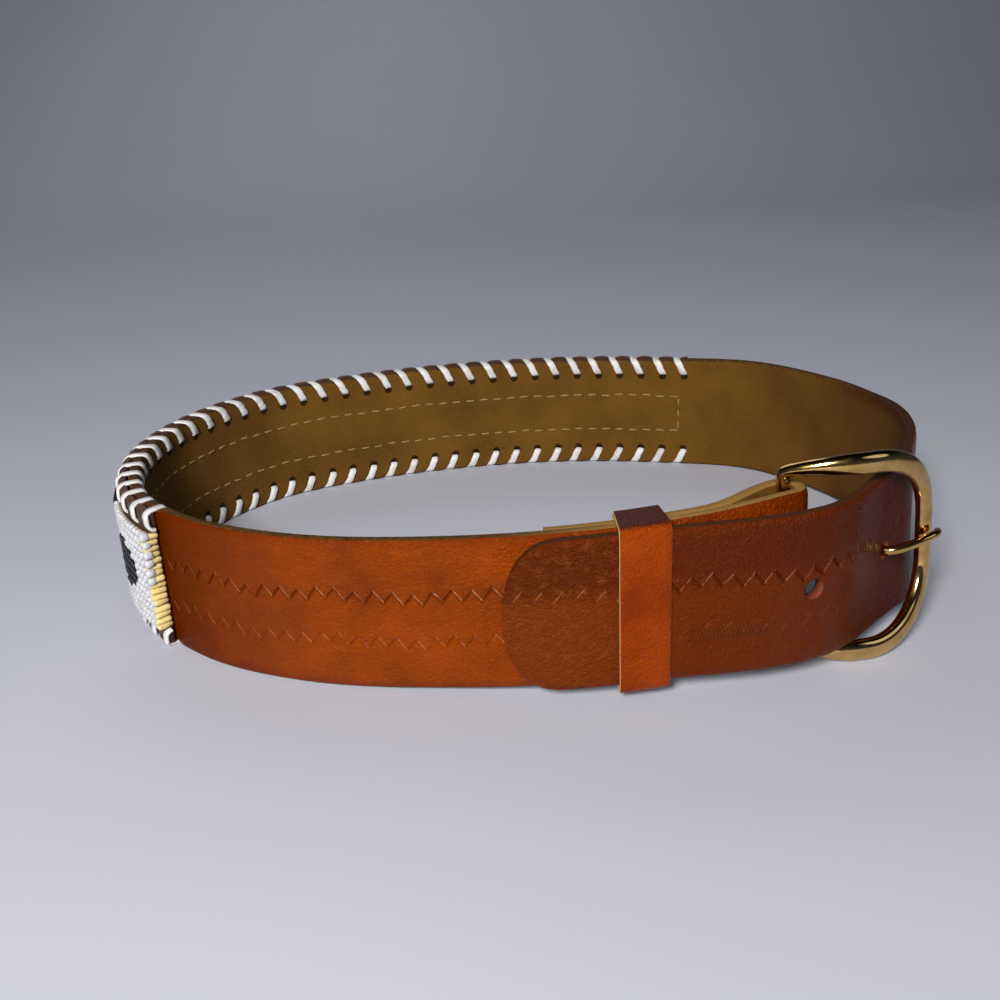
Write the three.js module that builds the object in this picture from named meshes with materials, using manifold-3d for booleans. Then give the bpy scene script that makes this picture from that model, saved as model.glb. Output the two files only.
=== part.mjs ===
// A beaded leather belt, buckled into a loop and standing on its lower edge.
// One strap of leather runs from the tongue tip, through the buckle, round the loop and back to the
// buckle's heel bar, where it folds over. A beaded strip is laced on outside it. Millimetres, +Z up.
import * as THREE from 'three';
import { mergeVertices } from 'three/addons/utils/BufferGeometryUtils.js';
import Module from 'manifold-3d';

const wasm = await Module();
wasm.setup();

// Strap
const STRAP_WIDTH = 38;
const END_WIDTH = 37;
const LEATHER = 3;
const STRAP_CHAMFER = 0.5;
const CLEARANCE = 0.3;
const LOOP_HALF_LENGTH = 110;
const LOOP_HALF_DEPTH = 78;
const STATION_STEP = 4;

// Tongue, the strap's free end, which lies outside the other layers
const TONGUE_REACH = 69;
const TIP_LENGTH = 13.5;
const TIP_ROUNDNESS = 2.3;
const TONGUE_BOW = 6.7;
const BOW_RISE = 40;
const BOW_FALL = 33;

// Buckle end, the strap's other end, folded round the heel bar
const RETURN_LENGTH = 60;
const RETURN_TAPER = 22;
const SLOT_LENGTH = 30;
const SLOT_HEIGHT = 6;

// Buckle
const BUCKLE_REACH = 33.5;
const BUCKLE_LIFT = 6;
const BUCKLE_HEIGHT = 51.5;
const BUCKLE_BOW = 7.5;
const BUCKLE_LEAN = THREE.MathUtils.degToRad(3.5);
const BUCKLE_TILT = THREE.MathUtils.degToRad(1.8);
const BUCKLE_RISE = 0.8;
const LEAN_BEFORE_HEEL = 26;
const LEAN_AFTER_TOE = 50;
const FRAME_WIDTH = 5.2;
const FRAME_THICKNESS = 3.6;
const FRAME_SIDES = 12;
const HEEL_BAR_DIAMETER = 3.2;
const HEEL_BAR_SLACK = 0.7;
const HEEL_CORNER_RISE = 2.9;
const HEEL_CORNER_REACH = 15;
const TOE_CORNER_RADIUS = 18;
const TOE_BAR_GAP = 3;
const PRONG_WIRE = 2.3;
const PRONG_RISE = 3;
const PRONG_PAST_TOE = 0.4;
const WIRE_CURVE_SEGMENTS = 5;

// Holes along the tongue. The prong stands in the first one after the spare ones.
const HOLE_DIAMETER = 4.8;
const HOLE_PITCH = 28;
const HOLE_PAST_HEEL = 28.2;
const HOLE_COUNT = 4;
const SPARE_HOLE_COUNT = 1;
const PUNCH_SIDES = 16;

// Keeper loop, which holds the tongue against the buckle end
const KEEPER_WIDTH = 10.8;
const KEEPER_THICKNESS = 1.1;
const KEEPER_FROM_HEEL = 38.5;
const KEEPER_CORNER = 1.2;

// Beaded strip, measured round the loop from the toe bar
const BACKING_START = 147.5;
const BACKING_LENGTH = 258;
const BACKING_THICKNESS = 2;
const BEADWORK_HEIGHT = 27;
const BEADWORK_THICKNESS = 2;
const BEADWORK_INSET = 0.6;

// Layout of the strap's middle line seen from above, as shares of the loop's half length and half
// depth. The first row is at the buckle's toe bar, the last at its heel bar. Lift is how far the
// lower edge stands off the surface, as a share of the lift at the buckle.
const LOOP_ROWS = [
  { at: 'toe bar', across: 0.832, back: -0.703, lift: 1.00 },
  { at: 'right front', across: 0.894, back: -0.526, lift: 0.90 },
  { at: 'right front', across: 0.953, back: -0.295, lift: 0.75 },
  { at: 'right', across: 0.980, back: -0.038, lift: 0.55 },
  { at: 'right back', across: 0.964, back: 0.179, lift: 0.35 },
  { at: 'right back', across: 0.914, back: 0.423, lift: 0.20 },
  { at: 'back corner', across: 0.745, back: 0.769, lift: 0.05 },
  { at: 'back', across: 0.473, back: 0.910, lift: 0.00 },
  { at: 'back', across: 0.164, back: 0.981, lift: 0.00 },
  { at: 'back', across: -0.164, back: 0.959, lift: 0.00 },
  { at: 'back', across: -0.473, back: 0.853, lift: 0.00 },
  { at: 'left back', across: -0.727, back: 0.679, lift: 0.00 },
  { at: 'left back', across: -0.905, back: 0.346, lift: 0.00 },
  { at: 'left', across: -0.962, back: -0.038, lift: 0.00 },
  { at: 'left front', across: -0.895, back: -0.423, lift: 0.00 },
  { at: 'left front', across: -0.720, back: -0.708, lift: 0.00 },
  { at: 'front', across: -0.473, back: -0.882, lift: 0.02 },
  { at: 'front', across: -0.182, back: -0.972, lift: 0.17 },
  { at: 'tongue tip', across: 0.109, back: -1.034, lift: 0.60 },
  { at: 'keeper', across: 0.327, back: -1.014, lift: 0.88 },
  { at: 'heel bar', across: 0.553, back: -0.907, lift: 1.00 },
];

// Sections of the tongue's rounded end, as shares of its length
const TIP_SHARES = [0.012, 0.05, 0.12, 0.22, 0.36, 0.54, 0.76];

const GRAIN_ORANGE = 0xb0470f;
const BRIGHT_ORANGE = 0xc2500c;
const GOLD_TONE = 0xc9a45c;
const BROWN_LEATHER = 0x5a3212;
const BEAD_WHITE = 0xe8e8ea;

const leatherMaterial = (color, roughness) => new THREE.MeshStandardMaterial({ color, roughness, metalness: 0 });
const goldMaterial = () => new THREE.MeshStandardMaterial({ color: GOLD_TONE, roughness: 0.22, metalness: 1 });

const UPRIGHT = new THREE.Vector3(0, 0, 1);

// The loop's middle line, half way up the strap
const loopLine = new THREE.CatmullRomCurve3(
  LOOP_ROWS.map((row) => new THREE.Vector3(
    row.across * LOOP_HALF_LENGTH,
    row.back * LOOP_HALF_DEPTH,
    row.lift * BUCKLE_LIFT + STRAP_WIDTH / 2,
  )),
  true,
  'centripetal',
);
loopLine.arcLengthDivisions = 2000;
const LOOP_LENGTH = loopLine.getLength();
const HEEL_AT = LOOP_LENGTH - BUCKLE_REACH;
const LAYER_PITCH = LEATHER + CLEARANCE;

// A place on the loop's middle line: the point, the way along it and the way out of the loop
function placeOnLoop(distance) {
  const share = THREE.MathUtils.euclideanModulo(distance / LOOP_LENGTH, 1);
  const point = loopLine.getPointAt(share);
  point.z = Math.max(point.z, STRAP_WIDTH / 2);
  const tangent = loopLine.getTangentAt(share).setZ(0).normalize();
  const outward = new THREE.Vector3(tangent.y, -tangent.x, 0);
  return { point, tangent, outward };
}

// A place at an offset outside the middle line, where the strap leans back by an angle
function placeBeside(distance, offset, lean = 0) {
  const place = placeOnLoop(distance);
  place.point.addScaledVector(place.outward, offset);
  const up = UPRIGHT.clone().multiplyScalar(Math.cos(lean)).addScaledVector(place.outward, -Math.sin(lean));
  return { ...place, up };
}

function smoothShare(share) {
  const held = THREE.MathUtils.clamp(share, 0, 1);
  return held * held * (3 - 2 * held);
}

// How far outside the middle line the tongue runs: one layer out, bowed over the heel bar, and
// down to nothing at the toe bar
function tongueOffset(distance) {
  const pastHeel = distance - HEEL_AT;
  const bow = pastHeel < 0 ? smoothShare(1 + pastHeel / BOW_RISE) : smoothShare(1 - pastHeel / BOW_FALL);
  return LAYER_PITCH * (1 - smoothShare(pastHeel / BUCKLE_REACH)) + TONGUE_BOW * bow;
}

// How far the tongue leans back with the buckle
function tongueLean(distance) {
  return BUCKLE_LEAN * smoothShare((distance - HEEL_AT) / BUCKLE_REACH);
}

// How far the rest of the strap leans, after the toe bar and again before the heel bar
function strapLean(distance) {
  const share = Math.max(1 - distance / LEAN_AFTER_TOE, 1 - (HEEL_AT - distance) / LEAN_BEFORE_HEEL);
  return BUCKLE_LEAN * smoothShare(share);
}

function steps(from, to, step) {
  const count = Math.max(1, Math.round(Math.abs(to - from) / step));
  return Array.from({ length: count + 1 }, (_, i) => from + (to - from) * i / count);
}

const heel = placeBeside(HEEL_AT, 0, BUCKLE_LEAN);
const FOLD_RADIUS = HEEL_BAR_DIAMETER / 2 + HEEL_BAR_SLACK + LEATHER / 2;
const heelCentre = heel.point.clone().addScaledVector(heel.outward, -FOLD_RADIUS);

// The buckle end's folded run: along the outside to the bar, half a turn round it, and back inside
function foldRun(before, after, step) {
  const outside = steps(HEEL_AT - before, HEEL_AT, step)
    .map((distance) => placeBeside(distance, 0, strapLean(distance)));
  const turn = steps(0, Math.PI, Math.PI / 10).slice(1, -1).map((angle) => ({
    point: heelCentre.clone()
      .addScaledVector(heel.outward, FOLD_RADIUS * Math.cos(angle))
      .addScaledVector(heel.tangent, FOLD_RADIUS * Math.sin(angle)),
    up: heel.up,
  }));
  const inside = steps(0, after, step).map((back) => {
    const spread = (2 * FOLD_RADIUS - LAYER_PITCH) * (1 - smoothShare(back / RETURN_TAPER));
    return placeBeside(HEEL_AT - back, -LAYER_PITCH - spread, strapLean(HEEL_AT - back));
  });
  return [...outside, ...turn, ...inside];
}

// The tongue's run from its tip to the toe bar, closer together in its rounded end
function tongueRun() {
  const tip = HEEL_AT - TONGUE_REACH;
  const rounded = TIP_SHARES.map((share) => tip + share * TIP_LENGTH);
  const straight = steps(tip + TIP_LENGTH, LOOP_LENGTH, STATION_STEP);
  return [...rounded, ...straight]
    .map((distance) => placeBeside(distance, tongueOffset(distance), tongueLean(distance)));
}

// Gives each place of a run its way out, square to the run and to the strap's own upright, and its
// distance along the run as seen from above
function measureRun(places, start = 0) {
  let travelled = start;
  return places.map((place, i) => {
    const before = places[Math.max(i - 1, 0)].point;
    const after = places[Math.min(i + 1, places.length - 1)].point;
    const along = after.clone().sub(before).setZ(0).normalize();
    if (i > 0) travelled += Math.hypot(place.point.x - before.x, place.point.y - before.y);
    return { point: place.point, up: place.up, out: along.cross(place.up).normalize(), travelled };
  });
}

// The whole run of the strap, from the tongue tip to the folded end
const strapRun = measureRun([
  ...tongueRun(),
  ...foldRun(HEEL_AT - STATION_STEP, RETURN_LENGTH, STATION_STEP),
], TIP_SHARES[0] * TIP_LENGTH);

const RUN_LENGTH = strapRun[strapRun.length - 1].travelled;

// A place on the strap's middle line, measured along the strap from the tongue tip
function placeOnStrap(distance) {
  const index = strapRun.findIndex((place) => place.travelled > distance);
  const before = strapRun[index - 1];
  const after = strapRun[index];
  const share = (distance - before.travelled) / (after.travelled - before.travelled);
  return {
    point: before.point.clone().lerp(after.point, share),
    out: before.out.clone().lerp(after.out, share).normalize(),
    up: before.up.clone().lerp(after.up, share).normalize(),
  };
}

// A surface through rings of points, each ring turning the same way, closed by flat ends or by
// joining the last ring to the first
function loft(rings, endless = false) {
  const size = rings[0].length;
  const index = [];
  const spans = endless ? rings.length : rings.length - 1;
  for (let ring = 0; ring < spans; ring += 1) {
    const here = ring * size;
    const next = ((ring + 1) % rings.length) * size;
    for (let side = 0; side < size; side += 1) {
      const beside = (side + 1) % size;
      index.push(here + side, here + beside, next + beside);
      index.push(here + side, next + beside, next + side);
    }
  }
  const lastRing = (rings.length - 1) * size;
  for (let side = 1; side < size - 1 && !endless; side += 1) {
    index.push(0, side + 1, side);
    index.push(lastRing, lastRing + side, lastRing + side + 1);
  }
  const geometry = new THREE.BufferGeometry();
  const positions = rings.flat().flatMap((point) => point.toArray());
  geometry.setAttribute('position', new THREE.Float32BufferAttribute(positions, 3));
  geometry.setIndex(index);
  return geometry;
}

// One cross-section of a flat strip standing on edge: eight corners, between two heights
function stripRing(place, thickness, low, high, chamfer) {
  const half = thickness / 2;
  const cut = Math.min(chamfer, (high - low) / 4);
  const corners = [
    [half - cut, low], [cut - half, low], [-half, low + cut], [-half, high - cut],
    [cut - half, high], [half - cut, high], [half, high - cut], [half, low + cut],
  ];
  return corners.map(([out, height]) => place.point.clone()
    .addScaledVector(place.out, out)
    .addScaledVector(place.up, height));
}

function toManifold(geometry) {
  const bare = geometry.clone();
  bare.deleteAttribute('normal');
  bare.deleteAttribute('uv');
  const merged = mergeVertices(bare, 1e-5);
  return new wasm.Manifold(new wasm.Mesh({
    numProp: 3,
    vertProperties: new Float32Array(merged.attributes.position.array),
    triVerts: new Uint32Array(merged.index.array),
  }));
}

function toGeometry(solid) {
  const mesh = solid.getMesh();
  const geometry = new THREE.BufferGeometry();
  geometry.setAttribute('position', new THREE.BufferAttribute(new Float32Array(mesh.vertProperties), 3));
  geometry.setIndex(new THREE.BufferAttribute(new Uint32Array(mesh.triVerts), 1));
  return geometry;
}

function namedMesh(name, geometry, material) {
  geometry.computeVertexNormals();
  const mesh = new THREE.Mesh(geometry, material);
  mesh.name = name;
  return mesh;
}

// Half the strap's height at a distance from the tongue tip. The tip is blunt and rounded, and both
// ends are a little narrower than the rest of the strap.
function halfHeight(distance) {
  const share = Math.max(0, 1 - distance / TIP_LENGTH);
  const rounded = Math.pow(1 - Math.pow(share, TIP_ROUNDNESS), 1 / TIP_ROUNDNESS);
  const fromFold = RUN_LENGTH - RETURN_LENGTH - distance;
  const nearest = Math.min(distance - TONGUE_REACH, fromFold);
  const widening = smoothShare(nearest / (2 * BUCKLE_REACH));
  return THREE.MathUtils.lerp(END_WIDTH, STRAP_WIDTH, widening) / 2 * rounded;
}

function strapSolid() {
  return toManifold(loft(strapRun.map((place) => {
    const half = halfHeight(place.travelled);
    return stripRing(place, LEATHER, -half, half, STRAP_CHAMFER);
  })));
}

const holePlaces = Array.from(
  { length: HOLE_COUNT },
  (_, i) => placeOnStrap(TONGUE_REACH + HOLE_PAST_HEEL + (i - SPARE_HOLE_COUNT) * HOLE_PITCH),
);

// A round punch through one layer of the strap
function holePunch(place) {
  const radius = HOLE_DIAMETER / 2;
  const geometry = new THREE.CylinderGeometry(radius, radius, LEATHER + CLEARANCE, PUNCH_SIDES);
  const axis = new THREE.Vector3(0, 1, 0);
  geometry.applyQuaternion(new THREE.Quaternion().setFromUnitVectors(axis, place.out));
  geometry.translate(place.point.x, place.point.y, place.point.z);
  return toManifold(geometry);
}

// The slot that lets the prong through the fold
function prongSlot() {
  const straight = (SLOT_LENGTH - Math.PI * FOLD_RADIUS) / 2;
  const half = SLOT_HEIGHT / 2;
  const rings = measureRun(foldRun(straight, straight, 2))
    .map((place) => stripRing(place, LEATHER + CLEARANCE, -half, half, 0));
  return toManifold(loft(rings));
}

function strap() {
  const cuts = [prongSlot(), ...holePlaces.map(holePunch)];
  const solid = cuts.reduce((left, cut) => left.subtract(cut), strapSolid());
  return namedMesh('strap', toGeometry(solid), leatherMaterial(GRAIN_ORANGE, 0.4));
}

// Keeper: a thin strip of leather bent into a rectangle round all three layers
function keeperRing(distance, wall) {
  const place = placeOnLoop(distance);
  const half = LEATHER / 2 + CLEARANCE + wall;
  const inner = -LAYER_PITCH - half;
  const outer = tongueOffset(distance) + half;
  const tall = STRAP_WIDTH / 2 + CLEARANCE + wall;
  const cut = wall > 0 ? KEEPER_CORNER : STRAP_CHAMFER;
  const corners = [
    [outer - cut, -tall], [inner + cut, -tall], [inner, cut - tall], [inner, tall - cut],
    [inner + cut, tall], [outer - cut, tall], [outer, tall - cut], [outer, cut - tall],
  ];
  return corners.map(([out, height]) => place.point.clone()
    .addScaledVector(place.outward, out)
    .addScaledVector(UPRIGHT, height));
}

function keeperLoop() {
  const middle = HEEL_AT - KEEPER_FROM_HEEL;
  const half = KEEPER_WIDTH / 2;
  const past = half + CLEARANCE;
  const body = loft(steps(middle - half, middle + half, KEEPER_WIDTH / 4)
    .map((distance) => keeperRing(distance, KEEPER_THICKNESS)));
  const hollow = loft(steps(middle - past, middle + past, KEEPER_WIDTH / 4)
    .map((distance) => keeperRing(distance, 0)));
  const solid = toManifold(body).subtract(toManifold(hollow));
  return namedMesh('keeper_loop', toGeometry(solid), leatherMaterial(BRIGHT_ORANGE, 0.3));
}

// Buckle: one closed bar, thin and round where the strap folds over it, flatter all round the rest
const toe = placeOnLoop(LOOP_LENGTH);
const TOE_OFFSET = LEATHER / 2 + TOE_BAR_GAP + FRAME_THICKNESS / 2;
const toeCentre = toe.point.clone().addScaledVector(toe.outward, TOE_OFFSET);
const buckleChord = toeCentre.clone().sub(heelCentre).setZ(0);
const BUCKLE_CHORD = buckleChord.length();
const buckleAlong = buckleChord.clone().normalize();
const buckleOut = new THREE.Vector3(buckleAlong.y, -buckleAlong.x, 0);

// A point of the buckle's curved surface, at a distance from the heel bar and a height above the
// buckle's own middle. The buckle hangs a little high on the strap, tilted in its own plane, and
// leans back.
function pointOnBuckle(along, height) {
  const turned = along * Math.cos(BUCKLE_TILT) - height * Math.sin(BUCKLE_TILT);
  const risen = BUCKLE_RISE + along * Math.sin(BUCKLE_TILT) + height * Math.cos(BUCKLE_TILT);
  const share = along / BUCKLE_CHORD;
  return heelCentre.clone()
    .addScaledVector(buckleAlong, turned)
    .addScaledVector(buckleOut, BUCKLE_BOW * 4 * share * (1 - share) - risen * Math.sin(BUCKLE_LEAN))
    .addScaledVector(UPRIGHT, risen * Math.cos(BUCKLE_LEAN));
}

function buckleOutAt(along) {
  const slope = BUCKLE_BOW * 4 * (1 - 2 * along / BUCKLE_CHORD) / BUCKLE_CHORD;
  return buckleOut.clone()
    .addScaledVector(buckleAlong, -slope)
    .addScaledVector(UPRIGHT, Math.sin(BUCKLE_LEAN))
    .normalize();
}

// The outline that the buckle's bar follows, seen face on: heel bar, then clockwise to the toe bar
function buckleOutline() {
  const high = (BUCKLE_HEIGHT - FRAME_WIDTH) / 2;
  const low = -high;
  const rise = HEEL_CORNER_RISE;
  const reach = HEEL_CORNER_REACH;
  const round = TOE_CORNER_RADIUS;
  const end = BUCKLE_CHORD;
  const shape = new THREE.Path();
  shape.moveTo(0, low + rise);
  shape.lineTo(0, high - rise);
  shape.absellipse(reach, high - rise, reach, rise, Math.PI, Math.PI / 2, true);
  shape.lineTo(end - round, high);
  shape.absarc(end - round, high - round, round, Math.PI / 2, 0, true);
  shape.lineTo(end, low + round);
  shape.absarc(end - round, low + round, round, 0, -Math.PI / 2, true);
  shape.lineTo(reach, low);
  shape.absellipse(reach, low + rise, reach, rise, -Math.PI / 2, -Math.PI, true);
  return shape.getPoints(8);
}

function buckleFrame() {
  const outline = buckleOutline().filter((point, i, all) => i === 0 || point.distanceTo(all[i - 1]) > 0.01);
  if (outline[0].distanceTo(outline[outline.length - 1]) < 0.01) outline.pop();
  const rings = outline.map((point, i) => {
    const before = outline[(i + outline.length - 1) % outline.length];
    const after = outline[(i + 1) % outline.length];
    const centre = pointOnBuckle(point.x, point.y);
    const run = pointOnBuckle(after.x, after.y).sub(pointOnBuckle(before.x, before.y)).normalize();
    const out = buckleOutAt(point.x);
    const aside = new THREE.Vector3().crossVectors(run, out).normalize();
    const heavy = smoothShare(point.x / HEEL_CORNER_REACH);
    const wide = THREE.MathUtils.lerp(HEEL_BAR_DIAMETER, FRAME_WIDTH, heavy) / 2;
    const thick = THREE.MathUtils.lerp(HEEL_BAR_DIAMETER, FRAME_THICKNESS, heavy) / 2;
    return Array.from({ length: FRAME_SIDES }, (_, side) => {
      const angle = -2 * Math.PI * side / FRAME_SIDES;
      return centre.clone()
        .addScaledVector(aside, wide * Math.cos(angle))
        .addScaledVector(out, thick * Math.sin(angle));
    });
  });
  return namedMesh('buckle_frame', loft(rings, true), goldMaterial());
}

// Prong: a wire hooked round the heel bar, up through the hole in use and over the toe bar
function prongRun() {
  const wire = PRONG_WIRE / 2;
  const eye = HEEL_BAR_DIAMETER / 2 + CLEARANCE + wire;
  const hook = steps(-0.45 * Math.PI, 1.1 * Math.PI, Math.PI / 8).map((angle) => heelCentre.clone()
    .addScaledVector(heel.tangent, -eye * Math.sin(angle))
    .addScaledVector(heel.outward, -eye * Math.cos(angle)));
  const hole = holePlaces[SPARE_HOLE_COUNT];
  const through = LEATHER / 2 + CLEARANCE + wire;
  const over = FRAME_THICKNESS / 2 + CLEARANCE + wire;
  const toeOut = buckleOutAt(BUCKLE_CHORD);
  const toeAlong = new THREE.Vector3(-toeOut.y, toeOut.x, 0);
  const waypoints = [
    hole.point.clone().addScaledVector(hole.out, -through),
    hole.point.clone().addScaledVector(hole.out, through),
    ...[-FRAME_WIDTH / 2, PRONG_PAST_TOE].map((along) => toeCentre.clone()
      .addScaledVector(toeOut, over)
      .addScaledVector(toeAlong, along)
      .addScaledVector(UPRIGHT, PRONG_RISE)),
  ];
  return [...hook, ...waypoints];
}

function buckleProng() {
  const path = new THREE.CatmullRomCurve3(prongRun(), false, 'centripetal');
  const section = new THREE.Shape();
  section.absarc(0, 0, PRONG_WIRE / 2, 0, 2 * Math.PI, false);
  const geometry = new THREE.ExtrudeGeometry(section, {
    steps: 56,
    curveSegments: WIRE_CURVE_SEGMENTS,
    bevelEnabled: false,
    extrudePath: path,
  });
  return namedMesh('buckle_prong', toGeometry(toManifold(geometry)), goldMaterial());
}

// A strip laid along the outside of the strap
function outerStrip(from, to, inset, thickness, height, chamfer) {
  const offset = LEATHER / 2 + inset + thickness / 2;
  const run = measureRun(steps(from, to, STATION_STEP).map((distance) => placeBeside(distance, offset)));
  return loft(run.map((place) => stripRing(place, thickness, -height / 2, height / 2, chamfer)));
}

const BACKING_END = BACKING_START + BACKING_LENGTH;

function beadBacking() {
  const geometry = outerStrip(
    BACKING_START,
    BACKING_END,
    CLEARANCE,
    BACKING_THICKNESS,
    STRAP_WIDTH,
    STRAP_CHAMFER,
  );
  return namedMesh('bead_backing', geometry, leatherMaterial(BROWN_LEATHER, 0.8));
}

function beadPanel() {
  const geometry = outerStrip(
    BACKING_START + BEADWORK_INSET,
    BACKING_END - BEADWORK_INSET,
    CLEARANCE + BACKING_THICKNESS + CLEARANCE,
    BEADWORK_THICKNESS,
    BEADWORK_HEIGHT,
    STRAP_CHAMFER,
  );
  return namedMesh('bead_panel', geometry, leatherMaterial(BEAD_WHITE, 0.3));
}

const belt = new THREE.Group();
belt.add(strap(), keeperLoop(), buckleFrame(), buckleProng(), beadBacking(), beadPanel());

// The origin is under the middle of the belt, on the surface that it stands on
const bounds = new THREE.Box3().setFromObject(belt);
belt.position.set(
  -(bounds.min.x + bounds.max.x) / 2,
  -(bounds.min.y + bounds.max.y) / 2,
  -bounds.min.z,
);

export default belt;
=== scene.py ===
# %% [markdown]
# # A beaded leather belt
# The belt is one strap of orange leather, buckled into a loop and standing on its edge. A strip of
# beadwork on a second leather layer is laced on outside it. The solids come from CAD and set every
# size; this file dresses them. Each cell makes one piece or one finish, and says how and why.

import bmesh
import bpy
import numpy as np
from mathutils import Matrix, Vector


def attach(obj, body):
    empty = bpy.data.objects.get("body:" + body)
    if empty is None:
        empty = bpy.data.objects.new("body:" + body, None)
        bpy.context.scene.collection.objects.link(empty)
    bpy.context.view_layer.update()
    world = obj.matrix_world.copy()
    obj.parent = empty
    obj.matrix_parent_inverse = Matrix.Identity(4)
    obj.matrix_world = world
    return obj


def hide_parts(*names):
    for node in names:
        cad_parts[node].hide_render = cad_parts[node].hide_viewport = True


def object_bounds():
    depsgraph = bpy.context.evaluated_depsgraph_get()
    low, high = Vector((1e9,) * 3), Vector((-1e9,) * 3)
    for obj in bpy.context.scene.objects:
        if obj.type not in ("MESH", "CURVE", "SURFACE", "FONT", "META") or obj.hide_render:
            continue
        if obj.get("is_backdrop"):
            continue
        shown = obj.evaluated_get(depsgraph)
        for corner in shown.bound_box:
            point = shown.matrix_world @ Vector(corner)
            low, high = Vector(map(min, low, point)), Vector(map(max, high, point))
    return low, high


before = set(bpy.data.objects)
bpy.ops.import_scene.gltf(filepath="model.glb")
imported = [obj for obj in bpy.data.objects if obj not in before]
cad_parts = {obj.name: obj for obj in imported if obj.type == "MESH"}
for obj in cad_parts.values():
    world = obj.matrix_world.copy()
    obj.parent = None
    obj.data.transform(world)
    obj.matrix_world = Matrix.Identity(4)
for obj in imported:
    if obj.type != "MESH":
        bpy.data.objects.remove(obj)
cad_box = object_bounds()
print("nodes in the frame:", ", ".join(sorted(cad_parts)))

# %% [markdown]
# ## Small helpers
# Colours are easiest to choose as sRGB hex, but Blender's shaders want linear light, so one function
# turns one into the other. Another adds any node with its settings and links, which keeps the
# materials short enough to read; a hex code given to it is turned into linear light as well.

# %% Helpers for colours and nodes
MM = 0.001


def srgb(code):
    """Turns an sRGB hex colour into linear red, green, blue and alpha."""
    channels = [int(code[i:i + 2], 16) / 255 for i in (0, 2, 4)]
    linear = [c / 12.92 if c <= 0.04045 else ((c + 0.055) / 1.055) ** 2.4 for c in channels]
    return (*linear, 1.0)


def add_node(tree, kind, inputs=None, **settings):
    """Adds a node, sets its properties, and fills or links its inputs by name or number."""
    made = tree.nodes.new(kind)
    for name, value in settings.items():
        setattr(made, name, value)
    for key, value in (inputs or {}).items():
        socket = made.inputs[key]
        if isinstance(value, bpy.types.NodeSocket):
            tree.links.new(value, socket)
        else:
            is_hex = socket.type == "RGBA" and isinstance(value, str)
            socket.default_value = srgb(value) if is_hex else value
    return made


def start_material(name, **constants):
    """Makes a material and sets what is the same all over it on its shader."""
    material = bpy.data.materials.new(name)
    material.use_nodes = True
    shader = material.node_tree.nodes["Principled BSDF"]
    for socket, value in constants.items():
        shader.inputs[socket.replace("_", " ")].default_value = value
    return material, material.node_tree, shader


# %% [markdown]
# ## The belt's route
# Everything on this belt follows one line: the strap's middle seen from above. These are the sizes
# of the CAD model, in millimetres, and the same smooth curve through the same chosen points, so each
# piece below lies exactly on the solid that it dresses.

# %% Sizes of the belt
STRAP_WIDTH = 38.0
END_WIDTH = 37.0
LEATHER = 3.0
CLEARANCE = 0.3
LOOP_HALF_LENGTH = 110.0
LOOP_HALF_DEPTH = 78.0
LOOP_SHIFT = np.array([1.3088, 2.0473, 0.0])
TONGUE_REACH = 69.0
TIP_LENGTH = 13.5
TIP_ROUNDNESS = 2.3
TONGUE_BOW = 6.7
BOW_RISE = 40.0
BOW_FALL = 33.0
RETURN_LENGTH = 60.0
RETURN_TAPER = 22.0
SLOT_LENGTH = 30.0
SLOT_HEIGHT = 6.0
print(f"loop of {2 * LOOP_HALF_LENGTH:.0f} by {2 * LOOP_HALF_DEPTH:.0f} mm along its line")

# %% Sizes of the buckle, the holes and the beadwork
BUCKLE_REACH = 33.5
BUCKLE_LIFT = 6.0
BUCKLE_HEIGHT = 51.5
BUCKLE_BOW = 7.5
BUCKLE_LEAN = np.radians(3.5)
BUCKLE_TILT = np.radians(1.8)
BUCKLE_RISE = 0.8
LEAN_BEFORE_HEEL = 26.0
LEAN_AFTER_TOE = 50.0
FRAME_WIDTH = 5.2
FRAME_THICKNESS = 3.6
HEEL_BAR_DIAMETER = 3.2
HEEL_BAR_SLACK = 0.7
HEEL_CORNER_RISE = 2.9
HEEL_CORNER_REACH = 15.0
TOE_CORNER_RADIUS = 18.0
TOE_BAR_GAP = 3.0
PRONG_WIRE = 2.3
PRONG_RISE = 3.0
PRONG_PAST_TOE = 0.4
HOLE_DIAMETER = 4.8
HOLE_PITCH = 28.0
HOLE_PAST_HEEL = 28.2
HOLE_COUNT = 4
SPARE_HOLE_COUNT = 1
KEEPER_WIDTH = 10.8
KEEPER_THICKNESS = 1.1
KEEPER_FROM_HEEL = 38.5
BACKING_START = 147.5
BACKING_LENGTH = 258.0
BACKING_THICKNESS = 2.0
BEADWORK_HEIGHT = 27.0
BEADWORK_THICKNESS = 2.0
BEADWORK_INSET = 0.6

# Points of the strap's middle line: share of the half length, share of the half depth, share of lift
LOOP_ROWS = np.array([
    (0.832, -0.703, 1.00), (0.894, -0.526, 0.90), (0.953, -0.295, 0.75), (0.980, -0.038, 0.55),
    (0.964, 0.179, 0.35), (0.914, 0.423, 0.20), (0.745, 0.769, 0.05), (0.473, 0.910, 0.00),
    (0.164, 0.981, 0.00), (-0.164, 0.959, 0.00), (-0.473, 0.853, 0.00), (-0.727, 0.679, 0.00),
    (-0.905, 0.346, 0.00), (-0.962, -0.038, 0.00), (-0.895, -0.423, 0.00), (-0.720, -0.708, 0.00),
    (-0.473, -0.882, 0.02), (-0.182, -0.972, 0.17), (0.109, -1.034, 0.60), (0.327, -1.014, 0.88),
    (0.553, -0.907, 1.00),
])
UPRIGHT = np.array([0.0, 0.0, 1.0])


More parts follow.
